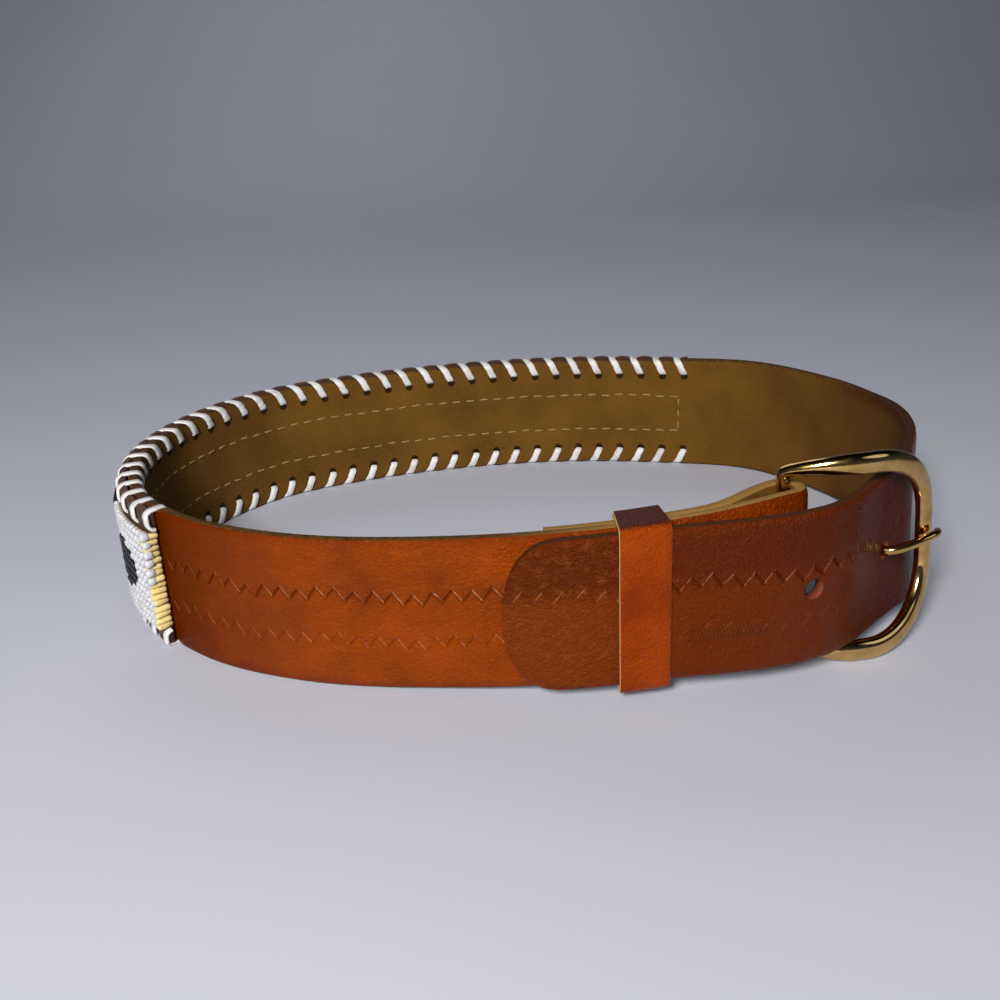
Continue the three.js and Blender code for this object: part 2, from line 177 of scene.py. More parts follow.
# %% The smooth curve through chosen points
def smooth_path(knots, closed, samples=200):
    """Centripetal Catmull-Rom curve through points, sampled finely between each pair."""
    count = len(knots)
    padded = [knots[-1], *knots, knots[0], knots[1]]
    if not closed:
        padded = [2 * knots[0] - knots[1], *knots, 2 * knots[-1] - knots[-2]]
    t = np.linspace(0, 1, samples, endpoint=False)[:, None]
    pieces = []
    for i in range(count if closed else count - 1):
        p0, p1, p2, p3 = padded[i:i + 4]
        g0, g1, g2 = (np.sqrt(np.linalg.norm(b - a)) for a, b in ((p0, p1), (p1, p2), (p2, p3)))
        leave = ((p1 - p0) / g0 - (p2 - p0) / (g0 + g1) + (p2 - p1) / g1) * g1
        arrive = ((p2 - p1) / g1 - (p3 - p1) / (g1 + g2) + (p3 - p2) / g2) * g1
        pieces.append((2 * t**3 - 3 * t**2 + 1) * p1 + (t**3 - 2 * t**2 + t) * leave
                      + (3 * t**2 - 2 * t**3) * p2 + (t**3 - t**2) * arrive)
    last = knots[0] if closed else knots[-1]
    return np.concatenate([*pieces, last[None]])


def reach_along(points):
    """Distance travelled at each point of a line."""
    return np.concatenate([[0.0], np.cumsum(np.linalg.norm(np.diff(points, axis=0), axis=1))])


def unit(vectors):
    return vectors / np.linalg.norm(vectors, axis=-1, keepdims=True)


def smooth_share(share):
    held = np.clip(share, 0, 1)
    return held * held * (3 - 2 * held)


loop_knots = np.column_stack([
    LOOP_ROWS[:, 0] * LOOP_HALF_LENGTH,
    LOOP_ROWS[:, 1] * LOOP_HALF_DEPTH,
    LOOP_ROWS[:, 2] * BUCKLE_LIFT + STRAP_WIDTH / 2,
])
loop_fine = smooth_path(loop_knots, closed=True)
loop_reach = reach_along(loop_fine)
loop_fine[:, 2] = np.maximum(loop_fine[:, 2], STRAP_WIDTH / 2)
loop_fine += LOOP_SHIFT
LOOP_LENGTH = loop_reach[-1]
HEEL_AT = LOOP_LENGTH - BUCKLE_REACH
LAYER_PITCH = LEATHER + CLEARANCE
print(f"round the loop: {LOOP_LENGTH:.1f} mm")


# %% Places on the loop
def loop_point(distance):
    wrapped = np.mod(distance, LOOP_LENGTH)
    return np.stack([np.interp(wrapped, loop_reach, loop_fine[:, k]) for k in range(3)], axis=-1)


def place_on_loop(distance):
    """The points, the way along the loop and the way out of it, at distances from the toe bar."""
    step = 0.4
    tangent = loop_point(distance + step) - loop_point(distance - step)
    tangent[..., 2] = 0
    tangent = unit(tangent)
    outward = np.stack([tangent[..., 1], -tangent[..., 0], 0 * tangent[..., 0]], axis=-1)
    return loop_point(distance), tangent, outward


def place_beside(distance, offset, lean):
    """Points outside the middle line, and the upright of a strap that leans back there."""
    distance = np.asarray(distance, float)
    point, _, outward = place_on_loop(distance)
    lean = (lean + 0 * distance)[..., None]
    offset = (offset + 0 * distance)[..., None]
    return point + outward * offset, UPRIGHT * np.cos(lean) - outward * np.sin(lean)


def tongue_offset(distance):
    past = distance - HEEL_AT
    bow = np.where(past < 0, smooth_share(1 + past / BOW_RISE), smooth_share(1 - past / BOW_FALL))
    return LAYER_PITCH * (1 - smooth_share(past / BUCKLE_REACH)) + TONGUE_BOW * bow


def tongue_lean(distance):
    return BUCKLE_LEAN * smooth_share((distance - HEEL_AT) / BUCKLE_REACH)


def strap_lean(distance):
    after_toe = 1 - distance / LEAN_AFTER_TOE
    before_heel = 1 - (HEEL_AT - distance) / LEAN_BEFORE_HEEL
    return BUCKLE_LEAN * smooth_share(np.maximum(after_toe, before_heel))


def steps(start, stop, step):
    return np.linspace(start, stop, max(2, int(round(abs(stop - start) / step)) + 1))


def measure_run(points, ups, start=0.0):
    """The way out of the strap at each place of a run, and the distance along it seen from above."""
    along = np.empty_like(points)
    along[1:-1] = points[2:] - points[:-2]
    along[0] = points[1] - points[0]
    along[-1] = points[-1] - points[-2]
    along[:, 2] = 0
    flat = points.copy()
    flat[:, 2] = 0
    return unit(np.cross(unit(along), ups)), start + reach_along(flat)


# %% The fold round the heel bar
FOLD_RADIUS = HEEL_BAR_DIAMETER / 2 + HEEL_BAR_SLACK + LEATHER / 2
heel_point, heel_tangent, heel_outward = place_on_loop(HEEL_AT)
heel_up = UPRIGHT * np.cos(BUCKLE_LEAN) - heel_outward * np.sin(BUCKLE_LEAN)
heel_centre = heel_point - heel_outward * FOLD_RADIUS


def fold_run(outside_at, after, step):
    """Points and uprights along the outside to the bar, half a turn round it, and back inside."""
    outside = place_beside(outside_at, 0.0, strap_lean(outside_at))
    angles = np.linspace(0, np.pi, 24)[1:-1, None]
    turn = heel_centre + FOLD_RADIUS * (heel_outward * np.cos(angles) + heel_tangent * np.sin(angles))
    back = steps(0, after, step)
    spread = (2 * FOLD_RADIUS - LAYER_PITCH) * (1 - smooth_share(back / RETURN_TAPER))
    inside = place_beside(HEEL_AT - back, -LAYER_PITCH - spread, strap_lean(HEEL_AT - back))
    return (np.concatenate([outside[0], turn, inside[0]]),
            np.concatenate([outside[1], np.tile(heel_up, (len(turn), 1)), inside[1]]))


# %% [markdown]
# ## The whole strap as one run
# The strap starts at the tongue's tip, goes through the buckle and round the loop, and ends in the
# fold. The skin needs close sections only where something fine shows, such as a tooled row or a
# lace hole, so the spacing changes along the run.

# %% The strap's run
FINE_STEP = 0.6
LACED_STEP = 0.8
COARSE_STEP = 2.0
TIP_START = 0.16

tip_at = HEEL_AT - TONGUE_REACH
tip_shares = np.array([0.0, 0.3, 0.7, 1.2, 1.9, 2.8, 3.9, 5.2, 6.6, 8.2, 9.9, 11.7]) + TIP_START
tongue_at = np.concatenate([tip_at + tip_shares, steps(tip_at + TIP_LENGTH, LOOP_LENGTH, FINE_STEP)])
laced_from = BACKING_START - 4
laced_to = BACKING_START + BACKING_LENGTH + 4
round_at = np.concatenate([
    steps(FINE_STEP, laced_from, FINE_STEP)[:-1],
    steps(laced_from, laced_to, LACED_STEP)[:-1],
    steps(laced_to, HEEL_AT, FINE_STEP),
])
tongue_points, tongue_ups = place_beside(tongue_at, tongue_offset(tongue_at), tongue_lean(tongue_at))
round_points, round_ups = fold_run(round_at, RETURN_LENGTH, COARSE_STEP)
run_points = np.concatenate([tongue_points, round_points])
run_ups = np.concatenate([tongue_ups, round_ups])
run_outs, run_reach = measure_run(run_points, run_ups, TIP_START)
RUN_LENGTH = run_reach[-1]
TOE_AT = run_reach[len(tongue_points) - 1]
print(f"along the strap: {RUN_LENGTH:.1f} mm, toe bar at {TOE_AT:.1f} mm, {len(run_points)} sections")


def place_on_strap(distance):
    """A point of the strap's middle, its way out and its upright, measured from the tongue tip."""
    at = [np.array([np.interp(distance, run_reach, values[:, k]) for k in range(3)])
          for values in (run_points, run_outs, run_ups)]
    return at[0], unit(at[1]), unit(at[2])


def half_height(distance):
    share = np.maximum(0, 1 - distance / TIP_LENGTH)
    rounded = (1 - share**TIP_ROUNDNESS) ** (1 / TIP_ROUNDNESS)
    nearest = np.minimum(distance - TONGUE_REACH, RUN_LENGTH - RETURN_LENGTH - distance)
    widening = smooth_share(nearest / (2 * BUCKLE_REACH))
    return (END_WIDTH + (STRAP_WIDTH - END_WIDTH) * widening) / 2 * rounded


# %% [markdown]
# ## Skins through rings of points
# Most pieces here are long and thin, with a section that hardly changes. The plainest way to make
# them is a grid: one ring of points for each section, joined ring to ring into four-sided faces, and
# closed at both ends. The grid's two directions also make a good UV map: millimetres along the piece
# and across it, so that a grain or a tooled row is drawn at its real size.

# %% Making a mesh from rings
def ring_mesh(name, rings, finishes, along=None, across=None, face_finish=None, endless=False):
    """One closed skin through rings of points (ring, point, xyz) in millimetres, as an object."""
    count, size = rings.shape[:2]
    index = np.arange(count * size).reshape(count, size)
    here = index if endless else index[:-1]
    after = np.roll(index, -1, axis=0) if endless else index[1:]
    quads = np.stack([here, np.roll(here, -1, 1), np.roll(after, -1, 1), after], -1).reshape(-1, 4)
    mesh = bpy.data.meshes.new(name)
    faces = [list(face) for face in quads]
    if not endless:
        faces += [list(index[0][::-1]), list(index[-1])]
    mesh.from_pydata((rings.reshape(-1, 3) * MM).tolist(), [], faces)
    if along is not None:
        per_point = np.stack([np.broadcast_to(along[:, None], (count, size)),
                              np.broadcast_to(across, (count, size))], -1).reshape(-1, 2) * MM
        corners = np.empty(len(mesh.loops), np.int32)
        mesh.loops.foreach_get("vertex_index", corners)
        layer = mesh.uv_layers.new(name="Surface")
        layer.data.foreach_set("uv", per_point[corners].astype(np.float32).ravel())
    if face_finish is not None:
        slots = np.tile(face_finish, len(here))
        slots = np.concatenate([slots, np.full(len(mesh.polygons) - len(slots), face_finish[0])])
        mesh.polygons.foreach_set("material_index", slots.astype(np.int32))
    skin = bmesh.new()
    skin.from_mesh(mesh)
    bmesh.ops.recalc_face_normals(skin, faces=skin.faces)
    skin.to_mesh(mesh)
    skin.free()
    for finish in finishes:
        mesh.materials.append(finish)
    mesh.shade_smooth()
    made = bpy.data.objects.new(name, mesh)
    bpy.context.scene.collection.objects.link(made)
    print(f"{name}: {len(mesh.polygons)} faces")
    return made


def strip_rings(points, outs, ups, profile):
    """Rings of a strip: a profile of (out, up) offsets, one for all places or one for each."""
    profile = np.broadcast_to(profile, (len(points), *np.shape(profile)[-2:]))
    return (points[:, None] + outs[:, None] * profile[..., :1] + ups[:, None] * profile[..., 1:])


# %% [markdown]
# ## Dyed strap leather
# The strap is vegetable-tanned cowhide, dyed orange on its grain side and glossed. What the eye gets
# is a fine pebble, a soft mottle where the dye went in unevenly, a clear sheen, and a tongue that is
# darker and scuffed from years of buckling. Everything is drawn on the UV map, in millimetres.
# The two tooled rows are pressed into the mesh below; here they get a sharper edge and painted highlights.

# %% Tooled rows
ROW_PITCH = 4.6
ROW_HEIGHT = 2.8
# Each row lies at a share of the width below the upper edge
UPPER_ROW = STRAP_WIDTH * (0.5 - 0.375)
LOWER_ROW = STRAP_WIDTH * (0.5 - 0.68)
GROOVE_HALF = 0.6
GROOVE_DEPTH = 0.25
LIP_ASIDE = 0.35
HATCH_PITCH = 0.8
HATCH_AT = 50.0
HATCH_REACH = 11.0
# The hand-held tool sways: millimetres to each side, and millimetres from one swing to the next
SWAYS = ((0.5, 37.0), (0.35, 14.0))
# Over this stretch behind the toe bar the tongue's own finish gives way to that of the loop
TONGUE_SHOWS = TOE_AT - 2
TONGUE_HIDDEN = TOE_AT + 14
# Force of the strokes, full force being 1, as a range node reads it: from place 1 to place 2 along
# the strap, it runs from value 3 to value 4
TIP_WORN = {1: 22.0, 2: 32.0, 3: 0.35, 4: 1.0}
AT_BUCKLE = {1: TONGUE_REACH + 6, 2: TONGUE_REACH + 14, 3: 1.0, 4: 0.25}
PAST_BUCKLE = {1: TOE_AT + 20, 2: TOE_AT + 30, 3: 0.0, 4: 1.0}
LOWER_FORCE = {1: TONGUE_SHOWS, 2: TONGUE_HIDDEN, 3: 0.1, 4: 0.45}


def force_at(along, force):
    """The same run for the mesh: straight from one place to the other and held outside them."""
    return np.interp(along, [force[1], force[2]], [force[3], force[4]])


def tooled_groove(along, across):
    """How deep the two zigzag rows are pressed in at a place on the grain side, 0 to 1."""
    wave = (np.abs(np.mod(along, ROW_PITCH) / ROW_PITCH - 0.5) * 2 - 0.5) * ROW_HEIGHT
    sway = sum(size * np.sin(2 * np.pi * along / length) for size, length in SWAYS)
    on_tongue = force_at(along, TIP_WORN) * force_at(along, AT_BUCKLE)
    force = np.maximum(on_tongue, force_at(along, PAST_BUCKLE))
    depth = np.zeros(np.broadcast(along, across).shape)
    for centre, share in ((UPPER_ROW, 1.0), (LOWER_ROW, force_at(along, LOWER_FORCE))):
        off = np.abs(across - centre - wave - sway)
        depth = np.maximum(depth, (1 - smooth_share(off / GROOVE_HALF)) * force * share)
    return depth


print(f"tooled rows at {UPPER_ROW:.2f} and {LOWER_ROW:.2f} mm from the strap's middle")


# %% The same rows as shader masks
def zigzag_masks(tree, along, across, centre):
    """Shader masks of the same row: its groove, and the lip on one side of each stroke, for a painted
    highlight.
    """
    wave = add_node(tree, "ShaderNodeMath", {0: along, 1: ROW_PITCH / 2}, operation="PINGPONG")
    line_at = add_node(tree, "ShaderNodeMath", {0: wave.outputs[0], 1: -2 * ROW_HEIGHT / ROW_PITCH,
                                                2: ROW_HEIGHT / 2 + centre}, operation="MULTIPLY_ADD")
    for size, length in SWAYS:
        swing = add_node(tree, "ShaderNodeMath", {0: along, 1: 2 * np.pi / length}, operation="MULTIPLY")
        sine = add_node(tree, "ShaderNodeMath", {0: swing.outputs[0]}, operation="SINE")
        line_at = add_node(tree, "ShaderNodeMath", {0: sine.outputs[0], 1: size, 2: line_at.outputs[0]},
                           operation="MULTIPLY_ADD")
    gap = add_node(tree, "ShaderNodeMath", {0: across, 1: line_at.outputs[0]}, operation="SUBTRACT")
    off = add_node(tree, "ShaderNodeMath", {0: gap.outputs[0]}, operation="ABSOLUTE")
    groove = add_node(tree, "ShaderNodeMapRange",
                      {0: off.outputs[0], 1: 0.1, 2: GROOVE_HALF, 3: 1.0, 4: 0.0},
                      interpolation_type="SMOOTHSTEP")
    beside = add_node(tree, "ShaderNodeMath", {0: gap.outputs[0], 1: LIP_ASIDE}, operation="SUBTRACT")
    beside_off = add_node(tree, "ShaderNodeMath", {0: beside.outputs[0]}, operation="ABSOLUTE")
    lip = add_node(tree, "ShaderNodeMapRange", {0: beside_off.outputs[0], 1: 0.08, 2: 0.38, 3: 1.0, 4: 0.0})
    return groove.outputs[0], lip.outputs[0]


def stroke_side(tree, along, tongue_share):
    """1 on the strokes that catch the light: falling ones round the strap, rising on the tongue."""
    phase = add_node(tree, "ShaderNodeMath", {0: along, 1: ROW_PITCH}, operation="FLOORED_MODULO")
    falls = add_node(tree, "ShaderNodeMath", {0: phase.outputs[0], 1: ROW_PITCH / 2}, operation="LESS_THAN")
    both = add_node(tree, "ShaderNodeMath", {0: falls.outputs[0], 1: tongue_share}, operation="SUBTRACT")
    return add_node(tree, "ShaderNodeMath", {0: both.outputs[0]}, operation="ABSOLUTE").outputs[0]


# %% Millimetres on the surface
def surface_millimetres(tree):
    """The UV map in millimetres: as a vector, along and across."""
    coordinates = add_node(tree, "ShaderNodeTexCoord")
    scaled = add_node(tree, "ShaderNodeVectorMath", {0: coordinates.outputs["UV"], 1: (1000, 1000, 0)},
                      operation="MULTIPLY")
    split = add_node(tree, "ShaderNodeSeparateXYZ", {0: scaled.outputs[0]})
    return scaled.outputs[0], split.outputs[0], split.outputs[1]


# %% [markdown]
# ## Wear, tooling marks, dye, painted shade and painted highlights
# The grain's colour is built up in layers, each by a short function of its own: the tongue's wear,
# the hatch with painted highlights on its ridges, the darkening at the fold and the painted shade
# beside the beadwork, the tooled rows with painted highlights, and the dark rim. Each takes the
# colour so far and gives it back.

# %% The tongue's wear
SCUFF = 2.6
# The tongue's colours from its tip to past the buckle, at shares of this many millimetres
TONGUE_COLOUR_REACH = 120.0
TONGUE_COLOURS = ((0.0, "a84c04"), (0.2, "a44404"), (0.31, "903803"), (0.5, "8a3602"), (0.74, "682401"),
                  (0.86, "481401"))


def tongue_wear(tree, place, along, across, share, colour):
    """The tongue's own colours, a cloud of dark dye over its upper half and pale scuffs at its tip."""
    position = add_node(tree, "ShaderNodeMapRange", {0: along, 1: 0.0, 2: TONGUE_COLOUR_REACH})
    ramp = add_node(tree, "ShaderNodeValToRGB", {0: position.outputs[0]})
    stops = ramp.color_ramp.elements
    for at, _ in TONGUE_COLOURS[1:-1]:
        stops.new(at)
    for stop, (at, code) in zip(stops, TONGUE_COLOURS):
        stop.position = at
        stop.color = srgb(code)
    worn = add_node(tree, "ShaderNodeMix", {0: 0.15, 6: ramp.outputs[0], 7: colour}, data_type="RGBA")
    colour = add_node(tree, "ShaderNodeMix", {0: share, 6: colour, 7: worn.outputs[2]},
                      data_type="RGBA").outputs[2]
    above_middle = add_node(tree, "ShaderNodeMapRange", {0: across, 1: 2.0, 2: 8.0, 3: 0.0, 4: 0.85})
    in_cloud = add_node(tree, "ShaderNodeMath", {0: above_middle.outputs[0], 1: share},
                        operation="MULTIPLY").outputs[0]
    colour = add_node(tree, "ShaderNodeMix", {0: in_cloud, 6: colour, 7: "561a04"},
                      data_type="RGBA").outputs[2]
    scuff = add_node(tree, "ShaderNodeTexNoise", {"Vector": place, "Scale": 1 / SCUFF, "Detail": 9.0,
                                                  "Roughness": 0.78}).outputs[0]
    scuffed = add_node(tree, "ShaderNodeMapRange", {0: scuff, 1: 0.51, 2: 0.65, 3: 0.0, 4: 0.8})
    near_tip = add_node(tree, "ShaderNodeMapRange", {0: along, 1: 20.0, 2: 42.0, 3: 1.0, 4: 0.12})
    held = add_node(tree, "ShaderNodeMath", {0: scuffed.outputs[0], 1: near_tip.outputs[0]},
                    operation="MULTIPLY").outputs[0]
    colour = add_node(tree, "ShaderNodeMix", {0: held, 6: colour, 7: "b8662a"},
                      data_type="RGBA").outputs[2]
    return colour, scuff


# %% The rocked hatch
def rocked_hatch(tree, along, across, colour, height):
    """A fine hatch from a rocked tool over the lower row, right of the keeper, with painted highlights on
    its ridges.
    """
    slanted = add_node(tree, "ShaderNodeMath", {0: across, 1: 0.35, 2: along}, operation="MULTIPLY_ADD")
    ridge = add_node(tree, "ShaderNodeMath", {0: slanted.outputs[0], 1: HATCH_PITCH / 2},
                     operation="PINGPONG")
    from_row = add_node(tree, "ShaderNodeMath", {0: across, 1: LOWER_ROW - 0.4}, operation="SUBTRACT")
    row_off = add_node(tree, "ShaderNodeMath", {0: from_row.outputs[0]}, operation="ABSOLUTE")
    in_row = add_node(tree, "ShaderNodeMapRange", {0: row_off.outputs[0], 1: 1.0, 2: 2.2, 3: 1.0, 4: 0.0})
    from_middle = add_node(tree, "ShaderNodeMath", {0: along, 1: HATCH_AT}, operation="SUBTRACT")
    middle_off = add_node(tree, "ShaderNodeMath", {0: from_middle.outputs[0]}, operation="ABSOLUTE")
    in_stretch = add_node(tree, "ShaderNodeMapRange", {0: middle_off.outputs[0], 1: HATCH_REACH - 4,
                                                       2: HATCH_REACH, 3: 1.0, 4: 0.0})
    hatched = add_node(tree, "ShaderNodeMath", {0: in_row.outputs[0], 1: in_stretch.outputs[0]},
                       operation="MULTIPLY")
    ridges = add_node(tree, "ShaderNodeMath", {0: ridge.outputs[0], 1: hatched.outputs[0]},
                      operation="MULTIPLY").outputs[0]
    height = add_node(tree, "ShaderNodeMath", {0: ridges, 1: 1.4, 2: height},
                      operation="MULTIPLY_ADD").outputs[0]
    # Painted highlights on the crests of the hatch
    crest = add_node(tree, "ShaderNodeMapRange", {0: ridges, 1: 0.2, 2: 0.4, 3: 0.0, 4: 0.5}).outputs[0]
    colour = add_node(tree, "ShaderNodeMix", {0: crest, 6: colour, 7: "c47a44"},
                      data_type="RGBA").outputs[2]
    return colour, height


# %% Darkening at the fold and painted shade beside the beadwork
LACED_END = BACKING_START + BACKING_LENGTH
SHADE_FADES = 45.0


def darkening_and_painted_shade(tree, along, colour):
    """Darker at the fold, painted shade past the beadwork where the loop turns away, brown under it."""
    at_fold = add_node(tree, "ShaderNodeMapRange", {0: along, 1: TOE_AT + HEEL_AT - 12,
                                                    2: TOE_AT + HEEL_AT, 3: 0.0, 4: 0.7})
    colour = add_node(tree, "ShaderNodeMix", {0: at_fold.outputs[0], 6: colour, 7: "561c02"},
                      data_type="RGBA").outputs[2]
    # Painted shade where the loop turns away from the light, just past the beadwork
    beside = add_node(tree, "ShaderNodeMapRange", {0: along, 1: TOE_AT + LACED_END,
                                                   2: TOE_AT + LACED_END + SHADE_FADES, 3: 0.75, 4: 0.0})
    colour = add_node(tree, "ShaderNodeMix", {0: beside.outputs[0], 6: colour, 7: "421400"},
                      data_type="RGBA").outputs[2]
    begun = add_node(tree, "ShaderNodeMath", {0: along, 1: TOE_AT + BACKING_START - 1},
                     operation="GREATER_THAN")
    ended = add_node(tree, "ShaderNodeMath", {0: along, 1: TOE_AT + LACED_END - 1.5},
                     operation="LESS_THAN")
    covered = add_node(tree, "ShaderNodeMath", {0: begun.outputs[0], 1: ended.outputs[0]},
                       operation="MULTIPLY").outputs[0]
    return add_node(tree, "ShaderNodeMix", {0: covered, 6: colour, 7: "483020"},
                    data_type="RGBA").outputs[2]


# %% The tooled rows' colours
def struck_rows(tree, along, across, tongue_share, scuff, colour, height):
    """The two rows: dark in the groove, a painted highlight beside it, fading out in the buckle."""
    at_buckle, at_tip, past_buckle, lower = [
        add_node(tree, "ShaderNodeMapRange", {0: along, **force}).outputs[0]
        for force in (AT_BUCKLE, TIP_WORN, PAST_BUCKLE, LOWER_FORCE)]
    on_tongue = add_node(tree, "ShaderNodeMath", {0: at_buckle, 1: at_tip}, operation="MULTIPLY")
    shown = add_node(tree, "ShaderNodeMath", {0: on_tongue.outputs[0], 1: past_buckle},
                     operation="MAXIMUM").outputs[0]
    side = stroke_side(tree, along, tongue_share)
    uneven = add_node(tree, "ShaderNodeMapRange", {0: scuff, 1: 0.4, 2: 0.56}).outputs[0]
    for centre, force in ((UPPER_ROW, 1.0), (LOWER_ROW, lower)):
        groove, lip = zigzag_masks(tree, along, across, centre)
        depth = add_node(tree, "ShaderNodeMath", {0: shown, 1: force}, operation="MULTIPLY").outputs[0]
        struck = add_node(tree, "ShaderNodeMath", {0: groove, 1: depth}, operation="MULTIPLY").outputs[0]
        dark = add_node(tree, "ShaderNodeMath", {0: struck, 1: 0.4}, operation="MULTIPLY").outputs[0]
        colour = add_node(tree, "ShaderNodeMix", {0: dark, 6: colour, 7: "521802"},
                          data_type="RGBA").outputs[2]
        # A painted highlight on the lip of each stroke that catches the light, patchy with the scuffs
        lit_stroke = add_node(tree, "ShaderNodeMath", {0: lip, 1: side}, operation="MULTIPLY").outputs[0]
        patchy = add_node(tree, "ShaderNodeMath", {0: lit_stroke, 1: uneven}, operation="MULTIPLY").outputs[0]
        pale = add_node(tree, "ShaderNodeMath", {0: patchy, 1: depth}, operation="MULTIPLY").outputs[0]
        colour = add_node(tree, "ShaderNodeMix", {0: pale, 6: colour, 7: "f2a070"},
                          data_type="RGBA").outputs[2]
        height = add_node(tree, "ShaderNodeMath", {0: struck, 1: -0.7, 2: height},
                          operation="MULTIPLY_ADD").outputs[0]
    return colour, height


# %% Gloss, painted shade and rim
GLOSS = 0.25
WORN_GLOSS = 0.03
RIM_WIDTH = 2.5


def cracked_gloss(tree, along):
    """The gloss has cracked off where the strap bends, in the buckle and beside the beadwork."""
    in_buckle = add_node(tree, "ShaderNodeMapRange", {0: along, 1: TOE_AT - 40, 2: TOE_AT - 12,
                                                      3: GLOSS, 4: WORN_GLOSS})
    at_beads = add_node(tree, "ShaderNodeMapRange",
                        {0: along, 1: TOE_AT + LACED_END + 15, 2: TOE_AT + LACED_END + 50,
                         3: WORN_GLOSS, 4: GLOSS})
    past_toe = add_node(tree, "ShaderNodeMath", {0: along, 1: TOE_AT + BACKING_START},
                        operation="GREATER_THAN")
    return add_node(tree, "ShaderNodeMix", {0: past_toe.outputs[0], 2: in_buckle.outputs[0],
                                            3: at_beads.outputs[0]}).outputs[0]


def painted_shade_stretch(tree, along, zone, colour):
    """Paints shade on the leather from one place along it to another."""
    begun = add_node(tree, "ShaderNodeMapRange", {0: along, 1: zone[0] - 0.8, 2: zone[0] + 0.4})
    ended = add_node(tree, "ShaderNodeMapRange", {0: along, 1: zone[1], 2: zone[1] + 2, 3: 0.85, 4: 0.0})
    within = add_node(tree, "ShaderNodeMath", {0: begun.outputs[0], 1: ended.outputs[0]},
                      operation="MULTIPLY").outputs[0]
    return add_node(tree, "ShaderNodeMix", {0: within, 6: colour, 7: "2c0a02"}, data_type="RGBA").outputs[2]


def burnished_rim(tree, across, colour):
    """Darkens the last millimetres before both edges of the strap."""
    edge = add_node(tree, "ShaderNodeMath", {0: across}, operation="ABSOLUTE")
    burnish = add_node(tree, "ShaderNodeMapRange", {0: edge.outputs[0], 1: STRAP_WIDTH / 2 - RIM_WIDTH,
                                                    2: STRAP_WIDTH / 2, 3: 0.0, 4: 0.55})
    return add_node(tree, "ShaderNodeMix", {0: burnish.outputs[0], 6: colour, 7: "5c1c03"},
                    data_type="RGBA").outputs[2]


# %% Grain leather from these layers
SMOOTHEST = 0.14
ROUGHEST = 0.32
PEBBLE_RISE = 0.6
PEBBLE = 0.55
MOTTLE = 16.0
CREASE = 3.2
GRAIN_RELIEF = 0.0007


def grain_leather(name, fresh, deep, tongue_finish=True, painted_shade_zone=None):
    """Dyed and glossed grain, with the strap's tooling and wear, or a stretch of painted shade, where
    asked.
    """
    material, tree, shader = start_material(name, IOR=1.45, Specular_IOR_Level=GLOSS,
                                            Specular_Tint=srgb("ffb478"))
    place, along, across = surface_millimetres(tree)
    mottle = add_node(tree, "ShaderNodeTexNoise", {"Vector": place, "Scale": 1 / MOTTLE, "Detail": 5.0})
    spread = add_node(tree, "ShaderNodeMapRange", {0: mottle.outputs[0], 1: 0.35, 2: 0.68}).outputs[0]
    colour = add_node(tree, "ShaderNodeMix", {0: spread, 6: fresh, 7: deep}, data_type="RGBA").outputs[2]
    pebble = add_node(tree, "ShaderNodeTexVoronoi", {"Vector": place, "Scale": 1 / PEBBLE},
                      feature="SMOOTH_F1")
    crease = add_node(tree, "ShaderNodeTexNoise", {"Vector": place, "Scale": 1 / CREASE, "Detail": 7.0,
                                                   "Roughness": 0.72}).outputs[0]
    height = add_node(tree, "ShaderNodeMath", {0: pebble.outputs[0], 1: PEBBLE_RISE, 2: crease},
                      operation="MULTIPLY_ADD").outputs[0]
    roughness = add_node(tree, "ShaderNodeMapRange",
                         {0: crease, 1: 0.3, 2: 0.7, 3: SMOOTHEST, 4: ROUGHEST}).outputs[0]
    if tongue_finish:
        share = add_node(tree, "ShaderNodeMapRange",
                         {0: along, 1: TONGUE_SHOWS, 2: TONGUE_HIDDEN, 3: 1.0, 4: 0.0}).outputs[0]
        colour, scuff = tongue_wear(tree, place, along, across, share, colour)
        dull = add_node(tree, "ShaderNodeMapRange", {0: along, 1: 26.0, 2: 40.0, 3: 0.15, 4: 0.0})
        roughness = add_node(tree, "ShaderNodeMath", {0: roughness, 1: dull.outputs[0]}).outputs[0]
        tree.links.new(cracked_gloss(tree, along), shader.inputs["Specular IOR Level"])
        colour, height = rocked_hatch(tree, along, across, colour, height)
        colour = darkening_and_painted_shade(tree, along, colour)
        colour, height = struck_rows(tree, along, across, share, scuff, colour, height)
    if painted_shade_zone:
        colour = painted_shade_stretch(tree, along, painted_shade_zone, colour)
    colour = burnished_rim(tree, across, colour)
    bump = add_node(tree, "ShaderNodeBump", {"Strength": 0.9, "Distance": GRAIN_RELIEF, "Height": height})
    tree.links.new(colour, shader.inputs["Base Color"])
    tree.links.new(roughness, shader.inputs["Roughness"])
    tree.links.new(bump.outputs[0], shader.inputs["Normal"])
    return material


strap_grain = grain_leather("dyed_grain_leather", "863600", "6e2900")
print("grain leather:", len(strap_grain.node_tree.nodes), "nodes")

# %% [markdown]
# ## Suede
# The inside of the strap is its flesh side: a short golden-brown nap, without gloss, blotched by
# wear, with dye bled in at the rim of the right bend.

# %% Flesh side
LACE_COUNT = 35
LACE_MARGIN = 2.2
LACE_DEPTH = 5.0
HOLE_BACK = 1.4
LACED_FROM = BACKING_START + LACE_MARGIN
LACED_TO = BACKING_START + BACKING_LENGTH - LACE_MARGIN
LACE_PITCH = (LACED_TO - LACED_FROM) / (LACE_COUNT - 1)
LACE_HOLE = 1.5
# The right bend, where dye bled into the raw side, ends between these distances past the toe bar
BEND_SURE = 65.0
BEND_OVER = 95.0
BLOTCH = 18.0
# Tufts of nap, about 0.8 mm each: how many to a millimetre
NAP_RATE = 1.2

